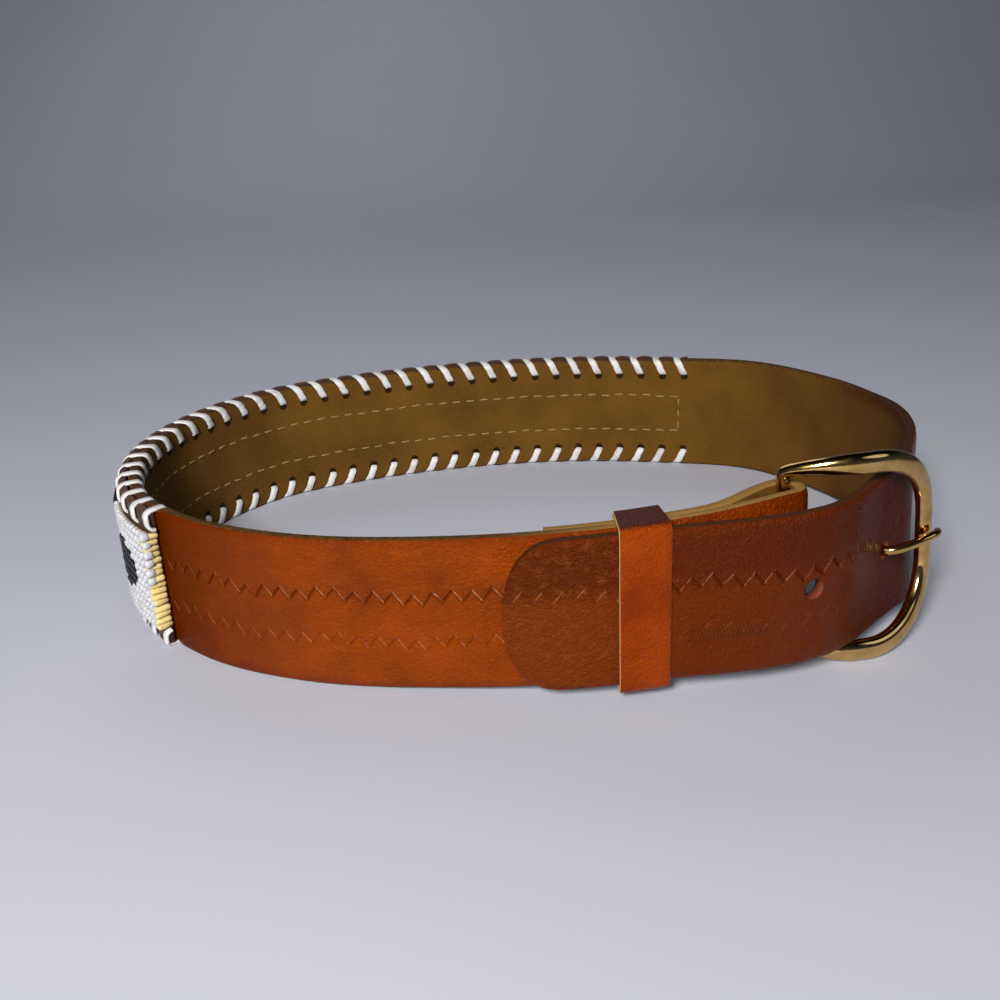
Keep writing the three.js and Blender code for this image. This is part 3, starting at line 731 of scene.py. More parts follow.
suede, tree, shader = start_material("suede_flesh_side", Roughness=0.95, Specular_IOR_Level=0.1)
place, along, across = surface_millimetres(tree)
blotch = add_node(tree, "ShaderNodeTexNoise", {"Vector": place, "Scale": 1 / BLOTCH, "Detail": 5.0})
nap = add_node(tree, "ShaderNodeTexNoise", {"Vector": place, "Scale": NAP_RATE, "Detail": 6.0,
                                            "Roughness": 0.75})
patches = add_node(tree, "ShaderNodeMapRange", {0: blotch.outputs[0], 1: 0.25, 2: 0.72})
fibres = add_node(tree, "ShaderNodeMapRange", {0: nap.outputs[0], 1: 0.35, 2: 0.75, 3: 0.0, 4: 0.55})
colour = add_node(tree, "ShaderNodeMix", {0: patches.outputs[0], 6: "704c1a", 7: "4e340e"},
                  data_type="RGBA").outputs[2]
colour = add_node(tree, "ShaderNodeMix", {0: fibres.outputs[0], 6: colour, 7: "7e5a28"},
                  data_type="RGBA").outputs[2]
edge = add_node(tree, "ShaderNodeMath", {0: across}, operation="ABSOLUTE")
rim = add_node(tree, "ShaderNodeMapRange", {0: edge.outputs[0], 1: 14.5, 2: 18.5})
bend = add_node(tree, "ShaderNodeMapRange", {0: along, 1: TOE_AT + BEND_OVER, 2: TOE_AT + BEND_SURE})
bled = add_node(tree, "ShaderNodeMath", {0: rim.outputs[0], 1: bend.outputs[0]}, operation="MULTIPLY")
colour = add_node(tree, "ShaderNodeMix", {0: bled.outputs[0], 6: colour, 7: "4c1c08"},
                  data_type="RGBA").outputs[2]
toned = add_node(tree, "ShaderNodeMapRange", {0: along, 1: TOE_AT + 150, 2: TOE_AT + 70, 3: 0.0, 4: 0.4})
colour = add_node(tree, "ShaderNodeMix", {0: toned.outputs[0], 6: colour, 7: "3c2406"},
                  data_type="RGBA").outputs[2]
# %% Painted shade in the slits where the lace passes through
from_first = add_node(tree, "ShaderNodeMath", {0: along, 1: TOE_AT + LACED_FROM - HOLE_BACK - 0.3},
                      operation="SUBTRACT")
slit_number = add_node(tree, "ShaderNodeMath", {0: from_first.outputs[0], 1: 1 / LACE_PITCH},
                       operation="MULTIPLY")
half_on = add_node(tree, "ShaderNodeMath", {0: slit_number.outputs[0], 1: 0.5})
whole = add_node(tree, "ShaderNodeMath", {0: half_on.outputs[0]}, operation="FLOOR")
nearest = add_node(tree, "ShaderNodeMath", {0: whole.outputs[0], 1: -LACE_PITCH, 2: from_first.outputs[0]},
                   operation="MULTIPLY_ADD")
down = add_node(tree, "ShaderNodeMath", {0: edge.outputs[0], 1: STRAP_WIDTH / 2 - LACE_DEPTH - 0.8},
                operation="SUBTRACT")
slit_place = add_node(tree, "ShaderNodeCombineXYZ", {0: nearest.outputs[0], 1: down.outputs[0]})
slit_off = add_node(tree, "ShaderNodeVectorMath", {0: slit_place.outputs[0]}, operation="LENGTH")
slit = add_node(tree, "ShaderNodeMapRange", {0: slit_off.outputs["Value"], 1: LACE_HOLE * 0.7, 2: LACE_HOLE,
                                             3: 0.9, 4: 0.0})
begun = add_node(tree, "ShaderNodeMath", {0: along, 1: TOE_AT + LACED_FROM - 3 * HOLE_BACK},
                 operation="GREATER_THAN")
ended = add_node(tree, "ShaderNodeMath", {0: along, 1: TOE_AT + LACED_TO}, operation="LESS_THAN")
laced = add_node(tree, "ShaderNodeMath", {0: begun.outputs[0], 1: ended.outputs[0]}, operation="MULTIPLY")
painted_slit_shade = add_node(tree, "ShaderNodeMath", {0: slit.outputs[0], 1: laced.outputs[0]},
                      operation="MULTIPLY")
colour = add_node(tree, "ShaderNodeMix", {0: painted_slit_shade.outputs[0], 6: colour, 7: "150a03"},
                  data_type="RGBA").outputs[2]
bump = add_node(tree, "ShaderNodeBump", {"Strength": 0.9, "Distance": 0.0004, "Height": nap.outputs[0]})
tree.links.new(colour, shader.inputs["Base Color"])
tree.links.new(bump.outputs[0], shader.inputs["Normal"])

# %% [markdown]
# ## Cut edges and holes
# The cut edge changes along the belt: dirty brown on the tongue, dark where dye bled in at the right
# bend, brown like the backing where the lace holds both, and raw tan elsewhere. Its cut fibres leave
# it hardly any gloss. The walls of the punched holes are a darker brown.

# %% Cut edge and hole wall
# Fibres of about 1.1 mm, coarser than real ones so that they show: how many to a metre
FIBRE_RATE = 900.0
raw_edge, tree, shader = start_material("raw_cut_edge", Roughness=0.9, Specular_IOR_Level=0.15)
_, along, _ = surface_millimetres(tree)
coordinates = add_node(tree, "ShaderNodeTexCoord")
fibre = add_node(tree, "ShaderNodeTexNoise", {"Vector": coordinates.outputs["Object"], "Scale": FIBRE_RATE,
                                              "Detail": 6.0, "Roughness": 0.75})
stain = add_node(tree, "ShaderNodeMapRange", {0: fibre.outputs[0], 1: 0.35, 2: 0.65})
colour = add_node(tree, "ShaderNodeMix", {0: stain.outputs[0], 6: "644618", 7: "2e1c0a"},
                  data_type="RGBA").outputs[2]
at_bend = add_node(tree, "ShaderNodeMapRange", {0: along, 1: TOE_AT + BEND_OVER, 2: TOE_AT + BEND_SURE,
                                                3: 0.0, 4: 0.8})
colour = add_node(tree, "ShaderNodeMix", {0: at_bend.outputs[0], 6: colour, 7: "3a1808"},
                  data_type="RGBA").outputs[2]
before_lace = add_node(tree, "ShaderNodeMapRange", {0: along, 1: TOE_AT + LACED_FROM - 4,
                                                    2: TOE_AT + LACED_FROM - 2})
past_lace = add_node(tree, "ShaderNodeMapRange", {0: along, 1: TOE_AT + LACED_TO + 2,
                                                  2: TOE_AT + LACED_TO + 4, 3: 1.0, 4: 0.0})
browned = add_node(tree, "ShaderNodeMath", {0: before_lace.outputs[0], 1: past_lace.outputs[0]},
                   operation="MULTIPLY")
colour = add_node(tree, "ShaderNodeMix", {0: browned.outputs[0], 6: colour, 7: "483020"},
                  data_type="RGBA").outputs[2]
tongue_edge = add_node(tree, "ShaderNodeMapRange", {0: along, 1: TOE_AT - 20, 2: TOE_AT, 3: 0.6, 4: 0.0})
colour = add_node(tree, "ShaderNodeMix", {0: tongue_edge.outputs[0], 6: colour, 7: "472408"},
                  data_type="RGBA").outputs[2]
# The strap's end that folds round the bar was left its raw pale tan
folded = add_node(tree, "ShaderNodeMapRange", {0: along, 1: TOE_AT + HEEL_AT - 70, 2: TOE_AT + HEEL_AT - 40,
                                               3: 0.0, 4: 0.7})
colour = add_node(tree, "ShaderNodeMix", {0: folded.outputs[0], 6: colour, 7: "a07a40"},
                  data_type="RGBA").outputs[2]
bump = add_node(tree, "ShaderNodeBump", {"Strength": 0.9, "Distance": 0.0003, "Height": fibre.outputs[0]})
tree.links.new(colour, shader.inputs["Base Color"])
tree.links.new(bump.outputs[0], shader.inputs["Normal"])

# A darker brown for the walls of the punched holes
HOLE_WALL = srgb("6a2c0a")
hole_wall, tree, shader = start_material("worn_punched_hole", Base_Color=HOLE_WALL, Roughness=0.8)

# %% [markdown]
# ## Where the lace goes
# The lace crosses each edge at even steps over the whole length of the beadwork. The strap's edge is
# pressed in under each turn, so the places are worked out before the strap is made.

# %% Lace places
LACE_WIDTH = 2.2
LACE_THICKNESS = 0.8
LACE_PINCH = 0.85
CROSSING_AHEAD = 1.2

lace_at = np.linspace(LACED_FROM, LACED_TO, LACE_COUNT)
print(f"lace pitch: {LACE_PITCH:.2f} mm")


def lace_press(distance, ahead, width):
    """How much a turn of lace presses at a distance round the loop, 0 to 1."""
    nearest = np.min(np.abs(np.asarray(distance)[:, None] - (lace_at + ahead)[None]), axis=1)
    return np.exp(-(nearest / width) ** 2)


# %% [markdown]
# ## The strap
# One ring of points follows the strap's section: the grain side with close points at the tooled
# rows, a rounded cut edge, the flesh side, and the other edge. The rows are pressed in by moving the
# points of the grain side, which is crowned a little towards its edges so that they catch the
# light, and the edge gives way under each turn of lace.

# %% Strap section and skin
EDGE_ROUND = 0.6
GRAIN, FLESH, EDGE = 0, 1, 2
half = STRAP_WIDTH / 2
row_band = np.linspace(-3.0, 3.0, 15)
grain_across = np.unique(np.round(np.concatenate([
    UPPER_ROW + row_band, LOWER_ROW + row_band, [11.2, 14.0, 16.2, 17.0, 17.7, half - EDGE_ROUND],
    np.linspace(-2.6, 0.6, 3), [-half + EDGE_ROUND, -17.7, -17.0, -16.2, -14.0, -11.4]]), 3))
flesh_across = np.concatenate([
    [half - EDGE_ROUND, 16.4, 14.6, 13.7, 13.0, 12.3, 11.4], np.linspace(9.0, -9.0, 7),
    [-11.4, -12.3, -13.0, -13.7, -14.6, -16.4, -half + EDGE_ROUND]])
corner = np.linspace(0, np.pi / 2, 4)[1:]
thin = LEATHER / 2
upper_edge = [(thin - EDGE_ROUND + EDGE_ROUND * np.cos(a), half - EDGE_ROUND + EDGE_ROUND * np.sin(a))
              for a in corner]
upper_edge += [(-o, v) for o, v in reversed(upper_edge)]
profile = np.array(
    [(thin, v) for v in grain_across] + upper_edge + [(-thin, v) for v in flesh_across]
    + [(-o, -v) for o, v in upper_edge])
edge_count = len(upper_edge)
grain_end = len(grain_across) - 1
flesh_start = grain_end + edge_count + 1
flesh_end = flesh_start + len(flesh_across) - 1
side = np.full(len(profile), EDGE)
side[:grain_end + len(corner) - 1] = GRAIN
side[-len(corner) + 1:] = GRAIN
side[flesh_start:flesh_end] = FLESH

print(f"strap section: {len(profile)} points, {len(grain_across)} of them on the grain side")

# %% Rows, lace and crown pressed into the skin
CROWN_REACH = 2.6
CROWN_DEPTH = 0.4
PRESS_WIDTH = 1.5
PRESSED_BAND = 2.5
HOLE_PRESS = 0.55
halves = half_height(run_reach)
rings_profile = np.tile(profile, (len(run_points), 1, 1))
rings_profile[..., 1] *= (halves / half)[:, None]
round_distance = run_reach - TOE_AT
is_laced = (round_distance > LACED_FROM - 4) & (round_distance < LACED_TO + 4)
press = np.where(is_laced, lace_press(round_distance, CROSSING_AHEAD, PRESS_WIDTH), 0)
at_edge = smooth_share((np.abs(profile[:, 1]) - (half - PRESSED_BAND)) / PRESSED_BAND)
rings_profile[..., 1] -= np.sign(profile[:, 1]) * LACE_PINCH * press[:, None] * at_edge
hole_press = np.where(is_laced, lace_press(round_distance, -HOLE_BACK, 1.0), 0)
near_hole = np.exp(-((np.abs(profile[:, 1]) - (half - LACE_DEPTH)) / 1.0) ** 2) * (profile[:, 0] < -1.4)
rings_profile[..., 0] += HOLE_PRESS * hole_press[:, None] * near_hole
shows_tooling = (round_distance < BACKING_START) | (round_distance > BACKING_START + BACKING_LENGTH)
pressed = tooled_groove(run_reach[:, None], rings_profile[..., 1]) * (profile[:, 0] > 1.4)
rings_profile[..., 0] -= GROOVE_DEPTH * pressed * shows_tooling[:, None]
crown = np.clip((np.abs(profile[:, 1]) - half + CROWN_REACH) / CROWN_REACH, 0, 1) ** 2
rings_profile[..., 0] -= CROWN_DEPTH * crown * np.maximum(profile[:, 0] / thin, 0)

strap = ring_mesh("belt_strap", strip_rings(run_points, run_outs, run_ups, rings_profile),
                  [strap_grain, suede, raw_edge], along=run_reach,
                  across=rings_profile[..., 1], face_finish=side)

# %% [markdown]
# ## Holes in the tongue
# The punched holes and the slot for the prong go right through, so they are cut with a Boolean, all
# in one pass. Each cutter is a plain closed skin: a round punch across one layer, and a long block
# that bends round the fold.

# %% Punches and slot
PUNCH_SIDES = 40
PUNCH_LENGTH = LEATHER + 1.0
angles = np.linspace(0, 2 * np.pi, PUNCH_SIDES, endpoint=False)
hole_at = TONGUE_REACH + HOLE_PAST_HEEL + (np.arange(HOLE_COUNT) - SPARE_HOLE_COUNT) * HOLE_PITCH
cutters = []
for number, distance in enumerate(hole_at):
    point, out, up = place_on_strap(distance)
    sideways = np.cross(up, out)
    circle = HOLE_DIAMETER / 2 * (np.cos(angles)[:, None] * sideways + np.sin(angles)[:, None] * up)
    ends = [point + out * reach + circle for reach in (-PUNCH_LENGTH / 2, PUNCH_LENGTH / 2)]
    cutters.append(ring_mesh(f"punch_{number}", np.array(ends), [hole_wall]))
straight = (SLOT_LENGTH - np.pi * FOLD_RADIUS) / 2
slot_points, slot_ups = fold_run(steps(HEEL_AT - straight, HEEL_AT, 1.5), straight, 1.5)
slot_outs, _ = measure_run(slot_points, slot_ups)
deep = PUNCH_LENGTH / 2
tall = SLOT_HEIGHT / 2
slot_profile = np.array([(deep, -tall), (deep, tall), (-deep, tall), (-deep, -tall)])
slot_rings = strip_rings(slot_points, slot_outs, slot_ups, slot_profile)
cutters.append(ring_mesh("punch_slot", slot_rings, [raw_edge]))
with bpy.context.temp_override(active_object=cutters[0], selected_editable_objects=cutters):
    bpy.ops.object.join()
cut = strap.modifiers.new("holes", "BOOLEAN")
cut.operation = "DIFFERENCE"
cut.solver = "EXACT"
cut.material_mode = "TRANSFER"
cut.object = cutters[0]


# %% Holes made real
def settle(piece):
    """Turns an object's modifiers into plain mesh."""
    bpy.context.view_layer.update()
    depsgraph = bpy.context.evaluated_depsgraph_get()
    mesh = bpy.data.meshes.new_from_object(piece.evaluated_get(depsgraph))
    piece.modifiers.clear()
    piece.data = mesh
    mesh.name = piece.name
    return piece


settle(strap)
bpy.data.objects.remove(cutters[0])
print(f"strap after cutting: {len(strap.data.polygons)} faces")
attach(strap, "root")
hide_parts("strap")

# %% [markdown]
# ## The keeper
# The keeper is a thin strip of the same leather, brighter and hardly worn, bent into a loop round
# all layers. Its cut edges and its inside are raw and pale. A ring of points follows its path round
# the layers, and each place on that path carries a small section with softened edges.

# %% The keeper's pale cut edge
# Fibres of about 0.7 mm: how many to a millimetre
PALE_FIBRE_RATE = 1.5
pale_edge, tree, shader = start_material("pale_keeper_edge", Roughness=0.8)
place, _, _ = surface_millimetres(tree)
fibre = add_node(tree, "ShaderNodeTexNoise", {"Vector": place, "Scale": PALE_FIBRE_RATE, "Detail": 5.0})
tree.links.new(add_node(tree, "ShaderNodeMix", {0: fibre.outputs[0], 6: "d8b98a", 7: "a87440"},
                        data_type="RGBA").outputs[2], shader.inputs["Base Color"])

# %% The keeper's section
KEEPER_ROUND = 2.2
KEEPER_EDGE = 0.3
keeper_middle = HEEL_AT - KEEPER_FROM_HEEL
half_gap = LEATHER / 2 + CLEARANCE
inner_face = -LAYER_PITCH - half_gap
outer_face = float(tongue_offset(np.array(keeper_middle))) + half_gap
tall = STRAP_WIDTH / 2 + CLEARANCE


def rounded_box(low, high, tall, radius, per_corner=8, per_side=10):
    """Points round a box with rounded corners, as (out, up) pairs."""
    corners = [(high - radius, radius - tall, -np.pi / 2), (high - radius, tall - radius, 0),
               (low + radius, tall - radius, np.pi / 2), (low + radius, radius - tall, np.pi)]
    arcs = []
    for o, v, start in corners:
        turn = np.linspace(start, start + np.pi / 2, per_corner)
        arcs.append(np.column_stack([o + radius * np.cos(turn), v + radius * np.sin(turn)]))
    path = []
    for arc_points, following in zip(arcs, arcs[1:] + arcs[:1]):
        path.append(arc_points)
        share = np.linspace(0, 1, per_side)[1:-1, None]
        path.append(arc_points[-1] * (1 - share) + following[0] * share)
    return np.concatenate(path)


# %% Keeper
wall = KEEPER_THICKNESS
inner_path = rounded_box(inner_face, outer_face, tall, KEEPER_ROUND - wall)
outer_path = rounded_box(inner_face - wall, outer_face + wall, tall + wall, KEEPER_ROUND)
end = KEEPER_WIDTH / 2
soft = KEEPER_EDGE
# Section of the band: place across the keeper, and share of the way from its inside to its outside
band = [(-end, 0.0), (-end, 0.5), (-end, 0.72), (-end + soft * 0.35, 0.92), (-end + soft, 1.0)]
band += [(across_at, 1.0) for across_at in np.linspace(-end * 0.6, end * 0.6, 5)]
band += [(-o, share) for o, share in reversed(band[:5])]
band += [(across_at, 0.0) for across_at in np.linspace(end * 0.6, -end * 0.6, 3)]
band = np.array(band)
keeper_points, _, keeper_outs = place_on_loop(keeper_middle + band[:, 0])
keeper_rings = np.empty((len(inner_path), len(band), 3))
for i, (inner, outer) in enumerate(zip(inner_path, outer_path)):
    offset = inner + (outer - inner) * band[:, 1:]
    keeper_rings[i] = keeper_points + keeper_outs * offset[:, :1] + UPRIGHT * offset[:, 1:]
keeper_along = reach_along(np.pad(outer_path, ((0, 0), (0, 1))))
on_top = keeper_along[outer_path[:, 1] > tall + wall - 0.3]
# The keeper's top face is darkened: painted shade, and some darker dye as well
keeper_grain = grain_leather("bright_keeper_leather", "8e3600", "742600", tongue_finish=False,
                             painted_shade_zone=(on_top[0], on_top[-1]))
# The faces of both cut edges and of the inside are pale and raw
EDGE_FACES = 3
INNER_FACES = 4
band_finish = np.zeros(len(band))
band_finish[:EDGE_FACES] = 1
band_finish[len(band) - EDGE_FACES - INNER_FACES:] = 1
keeper = ring_mesh("belt_keeper", keeper_rings, [keeper_grain, pale_edge], along=keeper_along,
                   across=band[:, 0], face_finish=band_finish, endless=True)
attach(keeper, "root")
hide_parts("keeper_loop")

# %% [markdown]
# ## The buckle
# The frame is a zinc casting, polished and plated in a gold tone. One closed bar follows a rounded D,
# round and thin where the strap folds over it. Polished metal shows what is around it more than its
# own colour, so its finish is simple: full metallic, a low roughness, a few handling marks.

# %% Gold-tone plating
HANDLING = 0.004
gold, tree, shader = start_material("polished_gold_plating", Metallic=1.0)
coordinates = add_node(tree, "ShaderNodeTexCoord")
marks = add_node(tree, "ShaderNodeTexNoise", {"Vector": coordinates.outputs["Object"],
                                              "Scale": 1 / HANDLING, "Detail": 6.0, "Roughness": 0.6})
dulled = add_node(tree, "ShaderNodeMapRange", {0: marks.outputs[0], 1: 0.35, 2: 0.75, 3: 0.08, 4: 0.2})
tint = add_node(tree, "ShaderNodeMapRange", {0: marks.outputs[0], 1: 0.4, 2: 0.7})
bump = add_node(tree, "ShaderNodeBump", {"Strength": 0.12, "Distance": 0.0002, "Height": marks.outputs[0]})
tree.links.new(add_node(tree, "ShaderNodeMix", {0: tint.outputs[0], 6: "dcb474", 7: "b8904e"},
                        data_type="RGBA").outputs[2], shader.inputs["Base Color"])
tree.links.new(dulled.outputs[0], shader.inputs["Roughness"])
tree.links.new(bump.outputs[0], shader.inputs["Normal"])

# %% The buckle's curved surface
toe_point, _, toe_outward = place_on_loop(LOOP_LENGTH)
toe_centre = toe_point + toe_outward * (LEATHER / 2 + TOE_BAR_GAP + FRAME_THICKNESS / 2)
chord = (toe_centre - heel_centre) * (1, 1, 0)
BUCKLE_CHORD = np.linalg.norm(chord)
buckle_along = unit(chord)
buckle_out = np.array([buckle_along[1], -buckle_along[0], 0.0])


def point_on_buckle(along, height):
    """A point of the buckle's bowed, tilted and leaning surface."""
    turned = along * np.cos(BUCKLE_TILT) - height * np.sin(BUCKLE_TILT)
    risen = BUCKLE_RISE + along * np.sin(BUCKLE_TILT) + height * np.cos(BUCKLE_TILT)
    share = along / BUCKLE_CHORD
    bow = BUCKLE_BOW * 4 * share * (1 - share) - risen * np.sin(BUCKLE_LEAN)
    return (heel_centre + turned[..., None] * buckle_along + bow[..., None] * buckle_out
            + (risen * np.cos(BUCKLE_LEAN))[..., None] * UPRIGHT)


def buckle_out_at(along):
    slope = BUCKLE_BOW * 4 * (1 - 2 * along / BUCKLE_CHORD) / BUCKLE_CHORD
    return unit(buckle_out - slope[..., None] * buckle_along + UPRIGHT * np.sin(BUCKLE_LEAN))


def arc(x, y, rx, ry, start, stop, count=28):
    turn = np.linspace(start, stop, count)
    return np.column_stack([x + rx * np.cos(turn), y + ry * np.sin(turn)])


def line(start, stop, count=24):
    return np.linspace(start, stop, count)[1:-1]


# %% Buckle frame
FRAME_SIDES = 32
SECTION_SQUARENESS = 2.2
high = (BUCKLE_HEIGHT - FRAME_WIDTH) / 2
rise, reach, bend = HEEL_CORNER_RISE, HEEL_CORNER_REACH, TOE_CORNER_RADIUS
far = BUCKLE_CHORD
outline = np.concatenate([
    line((0, rise - high), (0, high - rise)),
    arc(reach, high - rise, reach, rise, np.pi, np.pi / 2),
    arc(far - bend, high - bend, bend, bend, np.pi / 2, 0),
    line((far, high - bend), (far, bend - high), 8),
    arc(far - bend, bend - high, bend, bend, 0, -np.pi / 2),
    arc(reach, rise - high, reach, rise, -np.pi / 2, -np.pi),
])
centres = point_on_buckle(outline[:, 0], outline[:, 1])
runs = unit(np.roll(centres, -1, axis=0) - np.roll(centres, 1, axis=0))
outs = buckle_out_at(outline[:, 0])
asides = unit(np.cross(runs, outs))
heavy = smooth_share(outline[:, 0] / HEEL_CORNER_REACH)[:, None, None]
angles = np.linspace(0, 2 * np.pi, FRAME_SIDES, endpoint=False)
power = 2 / SECTION_SQUARENESS
square = np.column_stack([np.sign(np.cos(angles)) * np.abs(np.cos(angles)) ** power,
                          np.sign(np.sin(angles)) * np.abs(np.sin(angles)) ** power])
circle = np.column_stack([np.cos(angles), np.sin(angles)])
section = (circle * HEEL_BAR_DIAMETER / 2 * (1 - heavy)
           + square * (FRAME_WIDTH / 2, FRAME_THICKNESS / 2) * heavy)
frame_rings = centres[:, None] + asides[:, None] * section[..., :1] + outs[:, None] * section[..., 1:]
buckle = ring_mesh("gold_buckle_frame", frame_rings, [gold], endless=True)
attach(buckle, "root")
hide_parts("buckle_frame")

# %% [markdown]
# ## The prong
# The prong is drawn wire: hooked round the heel bar inside the fold, up through the hole in use and
# over the toe bar, where it thins to a rounded end. A circle swept along a smooth path gives it.

# %% Prong
PRONG_SIDES = 20
PRONG_SPACING = 0.7
TIP_TAPER = 16.0
TIP_SHARE = 0.84
END_ROUNDING = 0.7
wire = PRONG_WIRE / 2
eye = HEEL_BAR_DIAMETER / 2 + CLEARANCE + wire
hook = [heel_centre - eye * (heel_tangent * np.sin(a) + heel_outward * np.cos(a))
        for a in steps(-0.45 * np.pi, 1.1 * np.pi, np.pi / 8)]
hole_point, hole_out, _ = place_on_strap(TONGUE_REACH + HOLE_PAST_HEEL)
through = LEATHER / 2 + CLEARANCE + wire
over = FRAME_THICKNESS / 2 + CLEARANCE + wire
toe_out = buckle_out_at(np.array(BUCKLE_CHORD))
toe_along = np.array([-toe_out[1], toe_out[0], 0.0])
waypoints = [hole_point - hole_out * through, hole_point + hole_out * through]
waypoints += [toe_centre + toe_out * over + toe_along * along + UPRIGHT * PRONG_RISE
              for along in (-FRAME_WIDTH / 2, PRONG_PAST_TOE)]
prong_fine = smooth_path(np.array([*hook, *waypoints]), closed=False)
prong_reach = reach_along(prong_fine)
stations = steps(0, prong_reach[-1], PRONG_SPACING)
# Closer stations round both ends, so that they can be rounded off
near_end = np.array([0.05, 0.15, 0.35])
stations = np.unique(np.concatenate([stations, near_end, prong_reach[-1] - near_end]))
centres = np.column_stack([np.interp(stations, prong_reach, prong_fine[:, k]) for k in range(3)])
tangents = unit(np.gradient(centres, axis=0))
sides = unit(np.cross(tangents, UPRIGHT))
tops = np.cross(sides, tangents)
from_tip = prong_reach[-1] - stations
radii = wire * (TIP_SHARE + (1 - TIP_SHARE) * smooth_share(from_tip / TIP_TAPER))
to_end = np.minimum(np.minimum(stations, from_tip) / END_ROUNDING, 1)
radii = radii * np.sqrt(1 - (1 - to_end) ** 2 * 0.95)
angles = np.linspace(0, 2 * np.pi, PRONG_SIDES, endpoint=False)
prong_rings = (centres[:, None] + radii[:, None, None]
               * (sides[:, None] * np.cos(angles)[:, None] + tops[:, None] * np.sin(angles)[:, None]))
prong = ring_mesh("gold_buckle_prong", prong_rings, [gold])
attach(prong, "root")
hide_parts("buckle_prong")

# %% [markdown]
# ## The backing layer
# The beadwork is sewn to a second layer of softer brown leather, as high as the strap. Between the
# turns of lace it bulges, and under each turn it is pinched in, so its edge looks like a row of small
# pillows. The same ring method makes it, with the press of the lace in its section. Soft leather
# without a gloss coat scatters the light, so it looks dull and finely wrinkled.

# %% Backing leather
# Wrinkles of about 1.7 mm: how many to a millimetre
WRINKLE_RATE = 0.6
backing_leather, tree, shader = start_material("soft_brown_leather", IOR=1.45)
place, _, _ = surface_millimetres(tree)
wrinkle = add_node(tree, "ShaderNodeTexNoise", {"Vector": place, "Scale": WRINKLE_RATE, "Detail": 7.0,
                                                "Roughness": 0.65})
tone = add_node(tree, "ShaderNodeMapRange", {0: wrinkle.outputs[0], 1: 0.35, 2: 0.65})
worn = add_node(tree, "ShaderNodeMapRange", {0: wrinkle.outputs[0], 1: 0.3, 2: 0.7, 3: 0.5, 4: 0.7})
bump = add_node(tree, "ShaderNodeBump", {"Strength": 0.6, "Distance": 0.0003, "Height": wrinkle.outputs[0]})
tree.links.new(add_node(tree, "ShaderNodeMix", {0: tone.outputs[0], 6: "583c2c", 7: "38241a"},
                        data_type="RGBA").outputs[2], shader.inputs["Base Color"])
tree.links.new(worn.outputs[0], shader.inputs["Roughness"])
tree.links.new(bump.outputs[0], shader.inputs["Normal"])

# %% Backing layer
PILLOW_BAND = 4.0
OUTER_PRESS = 0.5
backing_offset = LEATHER / 2 + CLEARANCE + BACKING_THICKNESS / 2
backing_at = steps(BACKING_START, BACKING_START + BACKING_LENGTH, LACED_STEP)
points, ups = place_beside(backing_at, backing_offset, 0.0)
outs, backing_reach = measure_run(points, ups)
thin = BACKING_THICKNESS / 2
roll = np.linspace(0, np.pi, 9)
cap = np.column_stack([thin * np.cos(roll), half - thin + thin * np.sin(roll)])
flat = np.linspace(-half + thin, half - thin, 9)[1:-1]
face = np.full(len(flat), thin)
backing_profile = np.concatenate([np.column_stack([face, flat]), cap,
                                  np.column_stack([-face, flat[::-1]]), -cap])
press = lace_press(backing_at, CROSSING_AHEAD, PRESS_WIDTH)
outer_press = lace_press(backing_at, 2.6, 1.4)
profiles = np.tile(backing_profile, (len(points), 1, 1))
at_edge = smooth_share((np.abs(backing_profile[:, 1]) - (half - PILLOW_BAND)) / PILLOW_BAND)
profiles[..., 1] -= np.sign(backing_profile[:, 1]) * LACE_PINCH * press[:, None] * at_edge
profiles[..., 0] -= OUTER_PRESS * outer_press[:, None] * at_edge * (backing_profile[:, 0] > 0.3)
backing = ring_mesh("backing_layer", strip_rings(points, outs, ups, profiles), [backing_leather],
                    along=backing_reach, across=backing_profile[:, 1])
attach(backing, "root")
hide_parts("bead_backing")

# %% [markdown]
# ## Repeating one thing along a path
# Lace turns, running stitches and thread wraps all repeat one small shape along a line. Geometry
# Nodes do that well: a path is resampled to a count, the shape is set on each point, turned to the
# path, loosened a little by a seeded random turn, made real and given its material. One tree serves
# all of them, with its sizes as named inputs.

